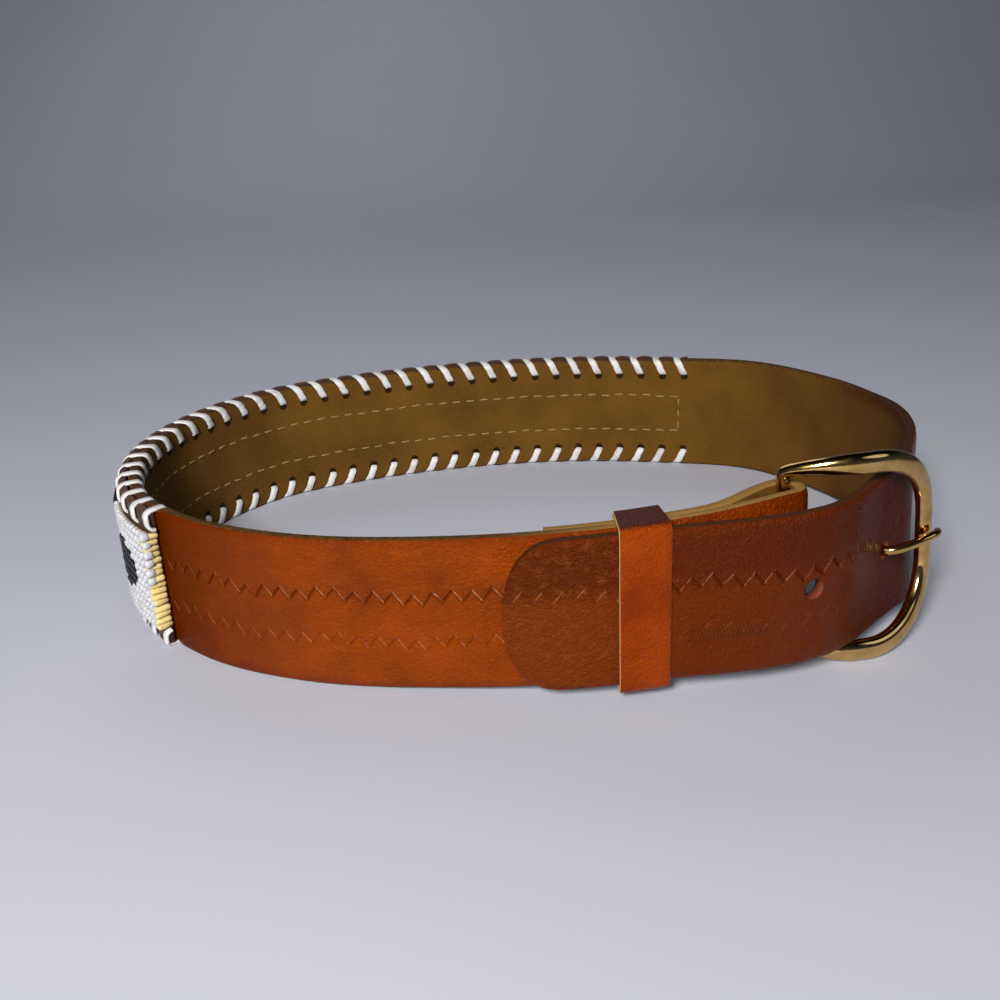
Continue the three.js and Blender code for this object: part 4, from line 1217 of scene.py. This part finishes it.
# %% The repeating tree
def repeating_tree():
    tree = bpy.data.node_groups.new("repeat_along_path", "GeometryNodeTree")
    tree.is_modifier = True
    for name, kind in (("Path", "NodeSocketGeometry"), ("Shape", "NodeSocketObject"),
                       ("Count", "NodeSocketInt"), ("Facing", "NodeSocketVector"),
                       ("Turn", "NodeSocketVector"), ("Shift", "NodeSocketVector"),
                       ("Seed", "NodeSocketInt"),
                       ("Finish", "NodeSocketMaterial")):
        tree.interface.new_socket(name, in_out="INPUT", socket_type=kind)
    tree.interface.new_socket("Repeated", in_out="OUTPUT", socket_type="NodeSocketGeometry")
    given = add_node(tree, "NodeGroupInput").outputs
    curve = add_node(tree, "GeometryNodeMeshToCurve", {"Mesh": given["Path"]})
    spaced = add_node(tree, "GeometryNodeResampleCurve",
                      {"Curve": curve.outputs[0], "Count": given["Count"]})
    tangent = add_node(tree, "GeometryNodeInputTangent")
    turned = add_node(tree, "FunctionNodeAxesToRotation", {0: tangent.outputs[0], 1: given["Facing"]},
                      primary_axis="X", secondary_axis="Z")
    shape = add_node(tree, "GeometryNodeObjectInfo", {"Object": given["Shape"], "As Instance": True})
    placed = add_node(tree, "GeometryNodeInstanceOnPoints",
                      {"Points": spaced.outputs[0], "Instance": shape.outputs["Geometry"],
                       "Rotation": turned.outputs[0]})
    opposite = [add_node(tree, "ShaderNodeVectorMath", {0: given[name], "Scale": -1.0}, operation="SCALE")
                for name in ("Turn", "Shift")]
    loose = [add_node(tree, "FunctionNodeRandomValue",
                      {0: least.outputs[0], 1: given[name], "Seed": given["Seed"]},
                      data_type="FLOAT_VECTOR")
             for name, least in zip(("Turn", "Shift"), opposite)]
    moved = add_node(tree, "GeometryNodeTranslateInstances",
                     {"Instances": placed.outputs[0], "Translation": loose[1].outputs[0]})
    swung = add_node(tree, "GeometryNodeRotateInstances",
                     {"Instances": moved.outputs[0], "Rotation": loose[0].outputs[0]})
    real = add_node(tree, "GeometryNodeRealizeInstances", {0: swung.outputs[0]})
    finished = add_node(tree, "GeometryNodeSetMaterial",
                        {"Geometry": real.outputs[0], "Material": given["Finish"]})
    add_node(tree, "NodeGroupOutput", {"Repeated": finished.outputs[0]})
    return tree


repeat_along_path = repeating_tree()
print("repeating tree:", len(repeat_along_path.nodes), "nodes")


# %% Running the tree on a path
def path_object(name, points):
    """A bare line of points in millimetres, as a mesh of edges."""
    mesh = bpy.data.meshes.new(name)
    mesh.from_pydata((points * MM).tolist(), [(i, i + 1) for i in range(len(points) - 1)], [])
    made = bpy.data.objects.new(name, mesh)
    bpy.context.scene.collection.objects.link(made)
    return made


def repeated(name, points, shape, count, finish, facing=(0, 0, 1), turn=(0, 0, 0), shift=(0, 0, 0), seed=1):
    """Runs the tree on a path and turns the result into one plain piece."""
    piece = path_object(name, points)
    modifier = piece.modifiers.new("repeat", "NODES")
    modifier.node_group = repeat_along_path
    values = {"Shape": shape, "Count": count, "Facing": facing, "Turn": turn,
              "Shift": [s * MM for s in shift], "Seed": seed, "Finish": finish}
    for item in repeat_along_path.interface.items_tree:
        if item.in_out == "INPUT" and item.name in values:
            modifier[item.identifier] = values[item.name]
    settle(piece)
    piece.data.shade_smooth()
    print(f"{name}: {count} copies, {len(piece.data.polygons)} faces")
    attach(piece, "root")
    return piece


# %% [markdown]
# ## The lace
# A flat white plastic lace is whipped over both edges. Seen from inside, each turn leaves its hole,
# slants up to the edge, crosses it and goes down behind. One turn is a short flat ribbon swept along
# that path; its mirror image serves the lower edge. Soft vinyl has a plain bright surface with a
# dull gloss and a little grime.

# %% Vinyl lace
# Spots of grime of about 4 mm: how many to a metre
GRIME_RATE = 260.0
vinyl, tree, shader = start_material("white_vinyl_lace", Roughness=0.42, IOR=1.5)
coordinates = add_node(tree, "ShaderNodeTexCoord")
grime = add_node(tree, "ShaderNodeTexNoise", {"Vector": coordinates.outputs["Object"], "Scale": GRIME_RATE,
                                              "Detail": 4.0})
dirt = add_node(tree, "ShaderNodeMapRange", {0: grime.outputs[0], 1: 0.5, 2: 0.8})
tree.links.new(add_node(tree, "ShaderNodeMix", {0: dirt.outputs[0], 6: "deddde", 7: "aca498"},
                        data_type="RGBA").outputs[2], shader.inputs["Base Color"])


# %% One turn of lace
def ribbon_shape(name, knots, width, thickness, finish, mirror=False):
    """A flat ribbon swept along a path whose wide side stays level with the first axis."""
    path = smooth_path(np.array(knots, float), closed=False, samples=4)
    if mirror:
        path = path * (1, 1, -1)
    along = unit(np.gradient(path, axis=0))
    wide = unit(np.array([1.0, 0, 0]) - along * along[:, :1])
    normal = np.cross(along, wide)
    w, t = width / 2, thickness / 2
    flat_section = np.array([(w, -t * 0.4), (w, t * 0.4), (w * 0.8, t), (-w * 0.8, t), (-w, t * 0.4),
                             (-w, -t * 0.4), (-w * 0.8, -t), (w * 0.8, -t)])
    rings = path[:, None] + wide[:, None] * flat_section[:, :1] + normal[:, None] * flat_section[:, 1:]
    return ring_mesh(name, rings, [finish])


# Round the edge at x along, y towards the loop's inside from the strap's middle, z from the edge
inner_y = LEATHER / 2 + LACE_THICKNESS / 2
outer_y = -(LEATHER / 2 + CLEARANCE + BACKING_THICKNESS + LACE_THICKNESS / 2)
crest = -LACE_THICKNESS / 2 - 0.2
turn_knots = [
    (-HOLE_BACK - 0.1, inner_y - 1.6, -LACE_DEPTH - 0.3), (-HOLE_BACK, inner_y - 0.2, -LACE_DEPTH + 0.2),
    (-HOLE_BACK + 0.9, inner_y + 0.1, -LACE_DEPTH + 1.9), (-0.3, inner_y + 0.05, -2.4),
    (CROSSING_AHEAD - 0.7, inner_y - 0.3, crest - 0.5), (CROSSING_AHEAD - 0.2, inner_y - 1.2, crest),
    (CROSSING_AHEAD + 0.4, outer_y + 1.4, crest), (CROSSING_AHEAD + 0.8, outer_y + 0.25, crest - 0.7),
    (CROSSING_AHEAD + 1.3, outer_y + 0.0, -2.2), (CROSSING_AHEAD + 1.6, outer_y + 0.1, -4.0),
    (CROSSING_AHEAD + 1.7, outer_y + 1.0, -4.9), (CROSSING_AHEAD + 1.7, outer_y + 1.6, -5.0)]

# %% Lace round both edges
lace_line_at = steps(LACED_FROM, LACED_TO, 1.0)
for name, height, mirror, seed in (("lace_upper_edge", half, False, 3),
                                   ("lace_lower_edge", -half, True, 8)):
    turn_shape = ribbon_shape(name + "_turn", turn_knots, LACE_WIDTH, LACE_THICKNESS, vinyl, mirror)
    points, ups = place_beside(lace_line_at, 0.0, 0.0)
    lace = repeated(name, points + UPRIGHT * height, turn_shape, LACE_COUNT, vinyl,
                    turn=(0.0, 0.0, 0.03), shift=(0.25, 0.0, 0.0), seed=seed)
    bpy.data.objects.remove(turn_shape)

# %% [markdown]
# ## Stitches inside
# Two rows of waxed thread, yellowed by age, run along the inside, where the beadwork is sewn on, and
# a short column of stitches closes them at the end. Each stitch that shows is a short rounded rod
# of thread, half sunk in the nap. Wax lays the cotton's fibres flat, so the thread looks smooth and
# dense, with only its twist showing.

# %% Waxed thread
# The twist of its plies, about 0.6 mm apart: how many to a metre
PLY_RATE = 1800.0
thread, tree, shader = start_material("waxed_cotton_thread", Roughness=0.6)
coordinates = add_node(tree, "ShaderNodeTexCoord")
ply = add_node(tree, "ShaderNodeTexNoise", {"Vector": coordinates.outputs["Object"], "Scale": PLY_RATE,
                                            "Detail": 3.0})
bump = add_node(tree, "ShaderNodeBump", {"Strength": 0.5, "Distance": 0.0001, "Height": ply.outputs[0]})
tree.links.new(add_node(tree, "ShaderNodeMix", {0: ply.outputs[0], 6: "a8905c", 7: "6e5426"},
                        data_type="RGBA").outputs[2], shader.inputs["Base Color"])
tree.links.new(bump.outputs[0], shader.inputs["Normal"])

# %% Running stitches and the end column
STITCH_LENGTH = 2.8
STITCH_PITCH = 4.9
THREAD_WIDTH = 0.6
UPPER_STITCHES = 0.34
LOWER_STITCHES = 0.67


def capsule_shape(name, length, width, finish, sides=8, upright=False):
    """A short rounded rod along x, or along z where it stands upright."""
    reach_at = np.array([-0.5, -0.46, -0.36, 0.0, 0.36, 0.46, 0.5]) * length
    girth = np.array([0.25, 0.7, 0.95, 1.0, 0.95, 0.7, 0.25]) * width / 2
    angles = np.linspace(0, 2 * np.pi, sides, endpoint=False)
    rings = np.stack([np.broadcast_to(reach_at[:, None], (7, sides)), girth[:, None] * np.cos(angles),
                      girth[:, None] * np.sin(angles)], -1)
    if upright:
        rings = rings[..., [1, 2, 0]]
    return ring_mesh(name, rings, [finish])


inside_offset = -LEATHER / 2 - 0.05
row_at = steps(BACKING_START + 4.0, BACKING_START + BACKING_LENGTH - 6.0, 1.0)
stitch_shape = capsule_shape("running_stitch", STITCH_LENGTH, THREAD_WIDTH, thread)
row_length = row_at[-1] - row_at[0]
for name, share, seed in (("stitches_upper_row", UPPER_STITCHES, 5),
                          ("stitches_lower_row", LOWER_STITCHES, 6)):
    points, _ = place_beside(row_at, inside_offset, 0.0)
    points = points + UPRIGHT * STRAP_WIDTH * (0.5 - share)
    row = repeated(name, points, stitch_shape, int(round(row_length / STITCH_PITCH)) + 1, thread,
                   turn=(0.0, 0.08, 0.0), shift=(0.0, 0.0, 0.25), seed=seed)
column_z = STRAP_WIDTH * (0.5 - np.array([UPPER_STITCHES, LOWER_STITCHES]))
point, _ = place_beside(np.array([row_at[0] - 1.5]), inside_offset, 0.0)
column = np.linspace(point[0] + UPRIGHT * (column_z[0] - 2.0), point[0] + UPRIGHT * (column_z[1] + 2.0), 12)
column_stitch = capsule_shape("column_stitch", STITCH_LENGTH * 0.8, THREAD_WIDTH, thread)
_, _, row_outward = place_on_loop(row_at[:1])
end_column = repeated("stitches_end_column", column, column_stitch, 3, thread,
                      facing=row_outward[0].tolist(), turn=(0.1, 0.1, 0.0), seed=4)
for shape in (stitch_shape, column_stitch):
    bpy.data.objects.remove(shape)

# %% [markdown]
# ## Seed beads
# The beadwork is columns of small glass beads, thirteen high, each one a closed barrel that stands
# upright. The colours follow a rule, so the whole strip can be made by Geometry Nodes: each column
# gets a number, each bead in it a row, and two distances from the middle of the figure say whether
# the bead is black or white. The stepped diamonds are a common traditional figure.

# %% Bead glass and one bead
BEAD_COLUMN_PITCH = 2.0
BEAD_ROWS = 13
BEAD_GLASS_ROUGHNESS = 0.22
# One shade to about 2.4 mm, so hardly more than one to a bead: how many to a metre
SHADE_RATE = 420.0


def bead_glass(name, main, shade):
    """Opaque pressed glass: a bright gloss, with each bead a little different."""
    material, tree, shader = start_material(name, Roughness=BEAD_GLASS_ROUGHNESS, IOR=1.52)
    coordinates = add_node(tree, "ShaderNodeTexCoord")
    batch = add_node(tree, "ShaderNodeTexNoise", {"Vector": coordinates.outputs["Object"],
                                                  "Scale": SHADE_RATE})
    tree.links.new(add_node(tree, "ShaderNodeMix", {0: batch.outputs[0], 6: main, 7: shade},
                            data_type="RGBA").outputs[2], shader.inputs["Base Color"])
    return material


white_glass = bead_glass("white_bead_glass", "d2d4d8", "a8aab0")
black_glass = bead_glass("black_bead_glass", "07070a", "15151c")

BEAD_HEIGHT = BEADWORK_HEIGHT / BEAD_ROWS
bead_turn = np.linspace(0, 2 * np.pi, 9, endpoint=False)
bead_girth = np.array([0.58, 0.93, 1.0, 0.93, 0.58]) * BEADWORK_THICKNESS / 2
bead_level = np.array([-0.48, -0.3, 0.0, 0.3, 0.48]) * BEAD_HEIGHT
bead_rings = np.stack([bead_girth[:, None] * np.cos(bead_turn), bead_girth[:, None] * np.sin(bead_turn),
                       np.broadcast_to(bead_level[:, None], (5, 9))], -1)
bead_shape = ring_mesh("one_seed_bead", bead_rings, [white_glass])


# %% Black figures by bead count
FIGURE_REACH = 3.5


def black_selection(tree, given, span):
    """Which beads are black: those within a diamond or a triangle, up to the plain end."""
    read = [add_node(tree, "GeometryNodeInputNamedAttribute", {"Name": name}, data_type="FLOAT")
            for name in ("column", "row")]
    half_repeat = add_node(tree, "ShaderNodeMath", {0: given["Repeat"], 1: 0.5}, operation="MULTIPLY")
    shifted = add_node(tree, "ShaderNodeMath", {0: read[0].outputs[0], 1: given["First figure"]},
                       operation="SUBTRACT")
    from_diamond = add_node(tree, "ShaderNodeMath", {0: shifted.outputs[0], 1: half_repeat.outputs[0]},
                            operation="PINGPONG")
    from_triangle = add_node(tree, "ShaderNodeMath",
                             {0: half_repeat.outputs[0], 1: from_diamond.outputs[0]},
                             operation="SUBTRACT")
    middle = add_node(tree, "ShaderNodeMath", {0: span.outputs[0], 1: 0.5}, operation="MULTIPLY")
    from_middle = add_node(tree, "ShaderNodeMath", {0: read[1].outputs[0], 1: middle.outputs[0]},
                           operation="SUBTRACT")
    level = add_node(tree, "ShaderNodeMath", {0: from_middle.outputs[0]}, operation="ABSOLUTE")
    from_edge = add_node(tree, "ShaderNodeMath", {0: middle.outputs[0], 1: level.outputs[0]},
                         operation="SUBTRACT")
    inside = []
    for sideways, upward in ((from_diamond, level), (from_triangle, from_edge)):
        sloped = add_node(tree, "ShaderNodeMath", {0: sideways.outputs[0], 1: given["Slope"]},
                          operation="MULTIPLY")
        stepped = add_node(tree, "ShaderNodeMath", {0: sloped.outputs[0]}, operation="FLOOR")
        away = add_node(tree, "ShaderNodeMath", {0: stepped.outputs[0], 1: upward.outputs[0]})
        inside.append(add_node(tree, "FunctionNodeCompare", {0: away.outputs[0], 1: FIGURE_REACH},
                               operation="LESS_THAN", data_type="FLOAT"))
    figured = add_node(tree, "FunctionNodeBooleanMath", {0: inside[0].outputs[0], 1: inside[1].outputs[0]},
                       operation="OR")
    before_end = add_node(tree, "FunctionNodeCompare", {0: read[0].outputs[0], 1: given["Last figured"]},
                          operation="LESS_EQUAL", data_type="FLOAT")
    black = add_node(tree, "FunctionNodeBooleanMath", {0: figured.outputs[0], 1: before_end.outputs[0]})
    return black.outputs[0]


# %% The beadwork tree
def beadwork_tree():
    tree = bpy.data.node_groups.new("beadwork", "GeometryNodeTree")
    tree.is_modifier = True
    for name, kind in (("Path", "NodeSocketGeometry"), ("Bead", "NodeSocketObject"),
                       ("Columns", "NodeSocketInt"), ("Rows", "NodeSocketInt"),
                       ("Bead height", "NodeSocketFloat"), ("Repeat", "NodeSocketFloat"),
                       ("First figure", "NodeSocketFloat"), ("Slope", "NodeSocketFloat"),
                       ("Last figured", "NodeSocketFloat"),
                       ("White", "NodeSocketMaterial"), ("Black", "NodeSocketMaterial")):
        tree.interface.new_socket(name, in_out="INPUT", socket_type=kind)
    tree.interface.new_socket("Beads", in_out="OUTPUT", socket_type="NodeSocketGeometry")
    given = add_node(tree, "NodeGroupInput").outputs
    curve = add_node(tree, "GeometryNodeMeshToCurve", {"Mesh": given["Path"]})
    spaced = add_node(tree, "GeometryNodeResampleCurve",
                      {"Curve": curve.outputs[0], "Count": given["Columns"]})
    number = add_node(tree, "GeometryNodeInputIndex")
    numbered = add_node(tree, "GeometryNodeStoreNamedAttribute",
                        {"Geometry": spaced.outputs[0], "Name": "column", "Value": number.outputs[0]},
                        data_type="FLOAT", domain="POINT")
    tangent = add_node(tree, "GeometryNodeInputTangent")
    turned = add_node(tree, "FunctionNodeAxesToRotation", {0: tangent.outputs[0], 1: (0, 0, 1)},
                      primary_axis="X", secondary_axis="Z")
    span = add_node(tree, "ShaderNodeMath", {0: given["Rows"], 1: 1.0}, operation="SUBTRACT")
    tall = add_node(tree, "ShaderNodeMath", {0: span.outputs[0], 1: given["Bead height"]},
                    operation="MULTIPLY")
    lowest = add_node(tree, "ShaderNodeMath", {0: tall.outputs[0], 1: -0.5}, operation="MULTIPLY")
    start = add_node(tree, "ShaderNodeCombineXYZ", {"Z": lowest.outputs[0]})
    step = add_node(tree, "ShaderNodeCombineXYZ", {"Z": given["Bead height"]})
    column = add_node(tree, "GeometryNodeMeshLine",
                      {"Count": given["Rows"], "Start Location": start.outputs[0],
                       "Offset": step.outputs[0]})
    row = add_node(tree, "GeometryNodeInputIndex")
    rowed = add_node(tree, "GeometryNodeStoreNamedAttribute",
                     {"Geometry": column.outputs[0], "Name": "row", "Value": row.outputs[0]},
                     data_type="FLOAT", domain="POINT")
    columns = add_node(tree, "GeometryNodeInstanceOnPoints",
                       {"Points": numbered.outputs[0], "Instance": rowed.outputs[0],
                        "Rotation": turned.outputs[0]})
    places = add_node(tree, "GeometryNodeRealizeInstances", {0: columns.outputs[0]})
    bead = add_node(tree, "GeometryNodeObjectInfo", {"Object": given["Bead"], "As Instance": True})
    size = add_node(tree, "FunctionNodeRandomValue",
                    {0: (0.88, 0.88, 0.9), 1: (1.0, 1.0, 1.02), "Seed": 11}, data_type="FLOAT_VECTOR")
    swing = add_node(tree, "FunctionNodeRandomValue",
                     {0: (-0.12, -0.12, -3.1), 1: (0.12, 0.12, 3.1), "Seed": 12},
                     data_type="FLOAT_VECTOR")
    beads = add_node(tree, "GeometryNodeInstanceOnPoints",
                     {"Points": places.outputs[0], "Instance": bead.outputs["Geometry"],
                      "Rotation": swing.outputs[0], "Scale": size.outputs[0]})
    real = add_node(tree, "GeometryNodeRealizeInstances", {0: beads.outputs[0]})
    black = black_selection(tree, given, span)
    whitened = add_node(tree, "GeometryNodeSetMaterial",
                        {"Geometry": real.outputs[0], "Material": given["White"]})
    coloured = add_node(tree, "GeometryNodeSetMaterial",
                        {"Geometry": whitened.outputs[0], "Selection": black,
                         "Material": given["Black"]})
    add_node(tree, "NodeGroupOutput", {"Beads": coloured.outputs[0]})
    return tree


# %% Beads in place
PATTERN_REPEAT = 22.0
PATTERN_SLOPE = 0.62
FIGURE_FROM_END = 8
PLAIN_END = 3
panel_offset = LEATHER / 2 + CLEARANCE + BACKING_THICKNESS + CLEARANCE + BEADWORK_THICKNESS / 2
panel_from = BACKING_START + BEADWORK_INSET
panel_to = BACKING_START + BACKING_LENGTH - BEADWORK_INSET
bead_columns = int((panel_to - panel_from) / BEAD_COLUMN_PITCH)
first_figure = (bead_columns - 1 - FIGURE_FROM_END) % PATTERN_REPEAT
panel_at = steps(panel_from + BEAD_COLUMN_PITCH / 2, panel_to - BEAD_COLUMN_PITCH / 2, 1.0)
points, _ = place_beside(panel_at, panel_offset, 0.0)
seed_beads = path_object("seed_beads", points)
beadwork = beadwork_tree()
modifier = seed_beads.modifiers.new("beadwork", "NODES")
modifier.node_group = beadwork
values = {"Bead": bead_shape, "Columns": bead_columns, "Rows": BEAD_ROWS, "Bead height": BEAD_HEIGHT * MM,
          "Repeat": PATTERN_REPEAT, "First figure": first_figure, "Slope": PATTERN_SLOPE,
          "Last figured": bead_columns - 1.5 - PLAIN_END,
          "White": white_glass, "Black": black_glass}
for item in beadwork.interface.items_tree:
    if item.in_out == "INPUT" and item.name in values:
        modifier[item.identifier] = values[item.name]
settle(seed_beads)
seed_beads.data.shade_smooth()
bpy.data.objects.remove(bead_shape)
print(f"seed beads: {bead_columns * BEAD_ROWS}, {len(seed_beads.data.polygons)} faces")
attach(seed_beads, "root")
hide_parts("bead_panel")

# %% [markdown]
# ## Threads behind the beads
# Between the rows of beads lie the threads that they are woven on. A thin bed of the same thread,
# ribbed lengthwise, closes the gaps between the beads, and a binding of plain cream cotton, matt and
# a little uneven, ends the strip.

# %% Thread bed
BED_THICKNESS = 0.7
RIB_DEPTH = 0.1
bed_offset = panel_offset - BEADWORK_THICKNESS / 2 + BED_THICKNESS / 2
bed_at = steps(panel_from, panel_to, 2.0)
points, ups = place_beside(bed_at, bed_offset, 0.0)
outs, _ = measure_run(points, ups)
rib = np.linspace(-BEADWORK_HEIGHT / 2 + 0.3, BEADWORK_HEIGHT / 2 - 0.3, 4 * BEAD_ROWS + 1)
ribbed = BED_THICKNESS / 2 - RIB_DEPTH + RIB_DEPTH * np.cos(rib / BEAD_HEIGHT * 2 * np.pi + np.pi)
bed_profile = np.concatenate([np.column_stack([ribbed, rib]),
                              [(-BED_THICKNESS / 2, rib[-1]), (-BED_THICKNESS / 2, rib[0])]])
bed = ring_mesh("thread_bed", strip_rings(points, outs, ups, bed_profile), [thread])
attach(bed, "root")

# %% Cream thread
# A coarser ply than the waxed thread's, about 0.7 mm: how many to a metre
CREAM_PLY_RATE = 1500.0
cream_thread, tree, shader = start_material("cream_binding_thread", Roughness=0.55)
coordinates = add_node(tree, "ShaderNodeTexCoord")
ply = add_node(tree, "ShaderNodeTexNoise", {"Vector": coordinates.outputs["Object"],
                                            "Scale": CREAM_PLY_RATE, "Detail": 3.0})
bump = add_node(tree, "ShaderNodeBump", {"Strength": 0.6, "Distance": 0.0001, "Height": ply.outputs[0]})
tree.links.new(add_node(tree, "ShaderNodeMix", {0: ply.outputs[0], 6: "eedc9c", 7: "c8ac62"},
                        data_type="RGBA").outputs[2], shader.inputs["Base Color"])
tree.links.new(bump.outputs[0], shader.inputs["Normal"])

# %% End binding
WRAP_WIDTH = 1.7
WRAP_COUNT = 16
END_BEAD = 2.3
END_BEAD_COUNT = 6
wrap_reach = BACKING_THICKNESS + CLEARANCE + BEADWORK_THICKNESS
end_at = np.array([LACED_END - WRAP_WIDTH / 2 + 0.6])
_, _, end_outward = place_on_loop(end_at)
wrap_shape = capsule_shape("binding_wrap", wrap_reach, WRAP_WIDTH, cream_thread, sides=10, upright=True)
bead_like = capsule_shape("binding_bead", END_BEAD, END_BEAD, white_glass, sides=12, upright=True)
for name, low, high, offset, shape, count, finish in (
        ("binding_thread", -12.6, 12.2, wrap_reach / 2 + 0.1, wrap_shape, WRAP_COUNT, cream_thread),
        ("binding_beads", 0.4, 12.4, wrap_reach - END_BEAD / 2 + 0.45, bead_like, END_BEAD_COUNT,
         white_glass)):
    point, _ = place_beside(end_at, LEATHER / 2 + CLEARANCE + offset, 0.0)
    line_points = np.linspace(point[0] + UPRIGHT * low, point[0] + UPRIGHT * high, 12)
    binding = repeated(name, line_points, shape, count, finish, facing=end_outward[0].tolist(),
                       turn=(0.2, 0.1, 0.2), shift=(0.1, 0.3, 0.2), seed=9)
    bpy.data.objects.remove(shape)

# %% [markdown]
# ## Camera
# The camera's place comes from fitting the belt's own edges to the photograph: it looks along +Y,
# 22 degrees down, a little rolled, from about 30 cm away.

# %% Camera
FOCAL_PIXELS = 1100.0
FRAME_PIXELS = 1000.0
SENSOR = 36.0
PITCH = np.radians(22.0)
ROLL = np.radians(-2.73)
camera_point = np.array([-5.0, -299.0, 137.5]) + LOOP_SHIFT
forward = np.array([0.0, np.cos(PITCH), -np.sin(PITCH)])
level = np.array([1.0, 0.0, 0.0])
above = np.array([0.0, np.sin(PITCH), np.cos(PITCH)])
right = level * np.cos(ROLL) + above * np.sin(ROLL)
upward = -level * np.sin(ROLL) + above * np.cos(ROLL)
camera_data = bpy.data.cameras.new("camera")
camera_data.sensor_width = SENSOR
camera_data.lens = FOCAL_PIXELS / FRAME_PIXELS * SENSOR
camera_data.clip_start = 0.01
camera = bpy.data.objects.new("camera", camera_data)
turn = Matrix(np.column_stack([right, upward, -forward]).tolist()).to_4x4()
camera.matrix_world = Matrix.Translation(Vector(camera_point * MM)) @ turn
bpy.context.scene.collection.objects.link(camera)
bpy.context.scene.camera = camera

# %% [markdown]
# ## Floor and light
# The belt stands on a plain pale sweep that rises behind it. A strong soft light stands at the front
# left, a weak one fills from the right, a third lights the far side from behind, and a dim sky does
# the rest. The sky is darker overhead, because polished metal needs something dark to reflect.

# %% Floor
FLOOR_HALF = 3.0
SWEEP_START = 0.75
SWEEP_RADIUS = 0.6
# Patches of tone about a third of a metre wide: how many to a metre
TONE_RATE = 3.0
floor_finish, tree, shader = start_material("pale_floor", Roughness=0.85)
coordinates = add_node(tree, "ShaderNodeTexCoord")
soft_tone = add_node(tree, "ShaderNodeTexNoise", {"Vector": coordinates.outputs["Object"],
                                                  "Scale": TONE_RATE})
tree.links.new(add_node(tree, "ShaderNodeMix", {0: soft_tone.outputs[0], 6: "c2c5d2", 7: "b8bbc8"},
                        data_type="RGBA").outputs[2], shader.inputs["Base Color"])
bends = np.linspace(0, np.pi / 2, 16)
sweep = [(-2.5, 0.0), (SWEEP_START, 0.0)]
sweep += [(SWEEP_START + SWEEP_RADIUS * np.sin(a), SWEEP_RADIUS * (1 - np.cos(a))) for a in bends[1:]]
sweep.append((SWEEP_START + SWEEP_RADIUS, 1.6))
corners = [(x, y, z) for y, z in sweep for x in (-FLOOR_HALF, FLOOR_HALF)]
floor_faces = [(2 * i, 2 * i + 1, 2 * i + 3, 2 * i + 2) for i in range(len(sweep) - 1)]
floor_mesh = bpy.data.meshes.new("floor")
floor_mesh.from_pydata(corners, [], floor_faces)
floor_mesh.materials.append(floor_finish)
floor_mesh.shade_smooth()
floor = bpy.data.objects.new("floor", floor_mesh)
bpy.context.scene.collection.objects.link(floor)
floor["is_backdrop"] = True

# %% Lights
SKY_STRENGTH = 0.35
middle = Vector((0, 0, 0.02))
for name, place, size, power, colour in (
        ("key_light", (-0.18, -0.66, 0.45), 0.20, 8.2, (1.0, 0.97, 0.93)),
        ("fill_light", (0.8, -0.6, 0.7), 0.6, 0.8, (0.85, 0.9, 1.0)),
        ("back_light", (-0.25, 0.95, 0.85), 0.8, 2.4, (0.85, 0.9, 1.0))):
    lamp = bpy.data.lights.new(name, "AREA")
    lamp.shape = "DISK"
    lamp.size = size
    lamp.energy = power
    lamp.color = colour
    light = bpy.data.objects.new(name, lamp)
    light.location = place
    light.rotation_euler = (middle - Vector(place)).to_track_quat("-Z", "Y").to_euler()
    bpy.context.scene.collection.objects.link(light)

world = bpy.data.worlds.new("studio")
world.use_nodes = True
tree = world.node_tree
coordinates = add_node(tree, "ShaderNodeTexCoord")
split = add_node(tree, "ShaderNodeSeparateXYZ", {0: coordinates.outputs["Generated"]})
height = add_node(tree, "ShaderNodeMapRange", {0: split.outputs[2], 1: -0.1, 2: 0.6})
sky = add_node(tree, "ShaderNodeMix", {0: height.outputs[0], 6: "7c7e98", 7: "101117"},
               data_type="RGBA").outputs[2]
tree.links.new(sky, tree.nodes["Background"].inputs["Color"])
tree.nodes["Background"].inputs["Strength"].default_value = SKY_STRENGTH
bpy.context.scene.world = world
bpy.context.scene.view_settings.view_transform = "Standard"

# %% Sizes for the record, and the end
visual_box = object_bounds()
for title, box in (("CAD box", cad_box), ("visual box", visual_box)):
    print(title, [[round(value / MM, 2) for value in corner] for corner in box])
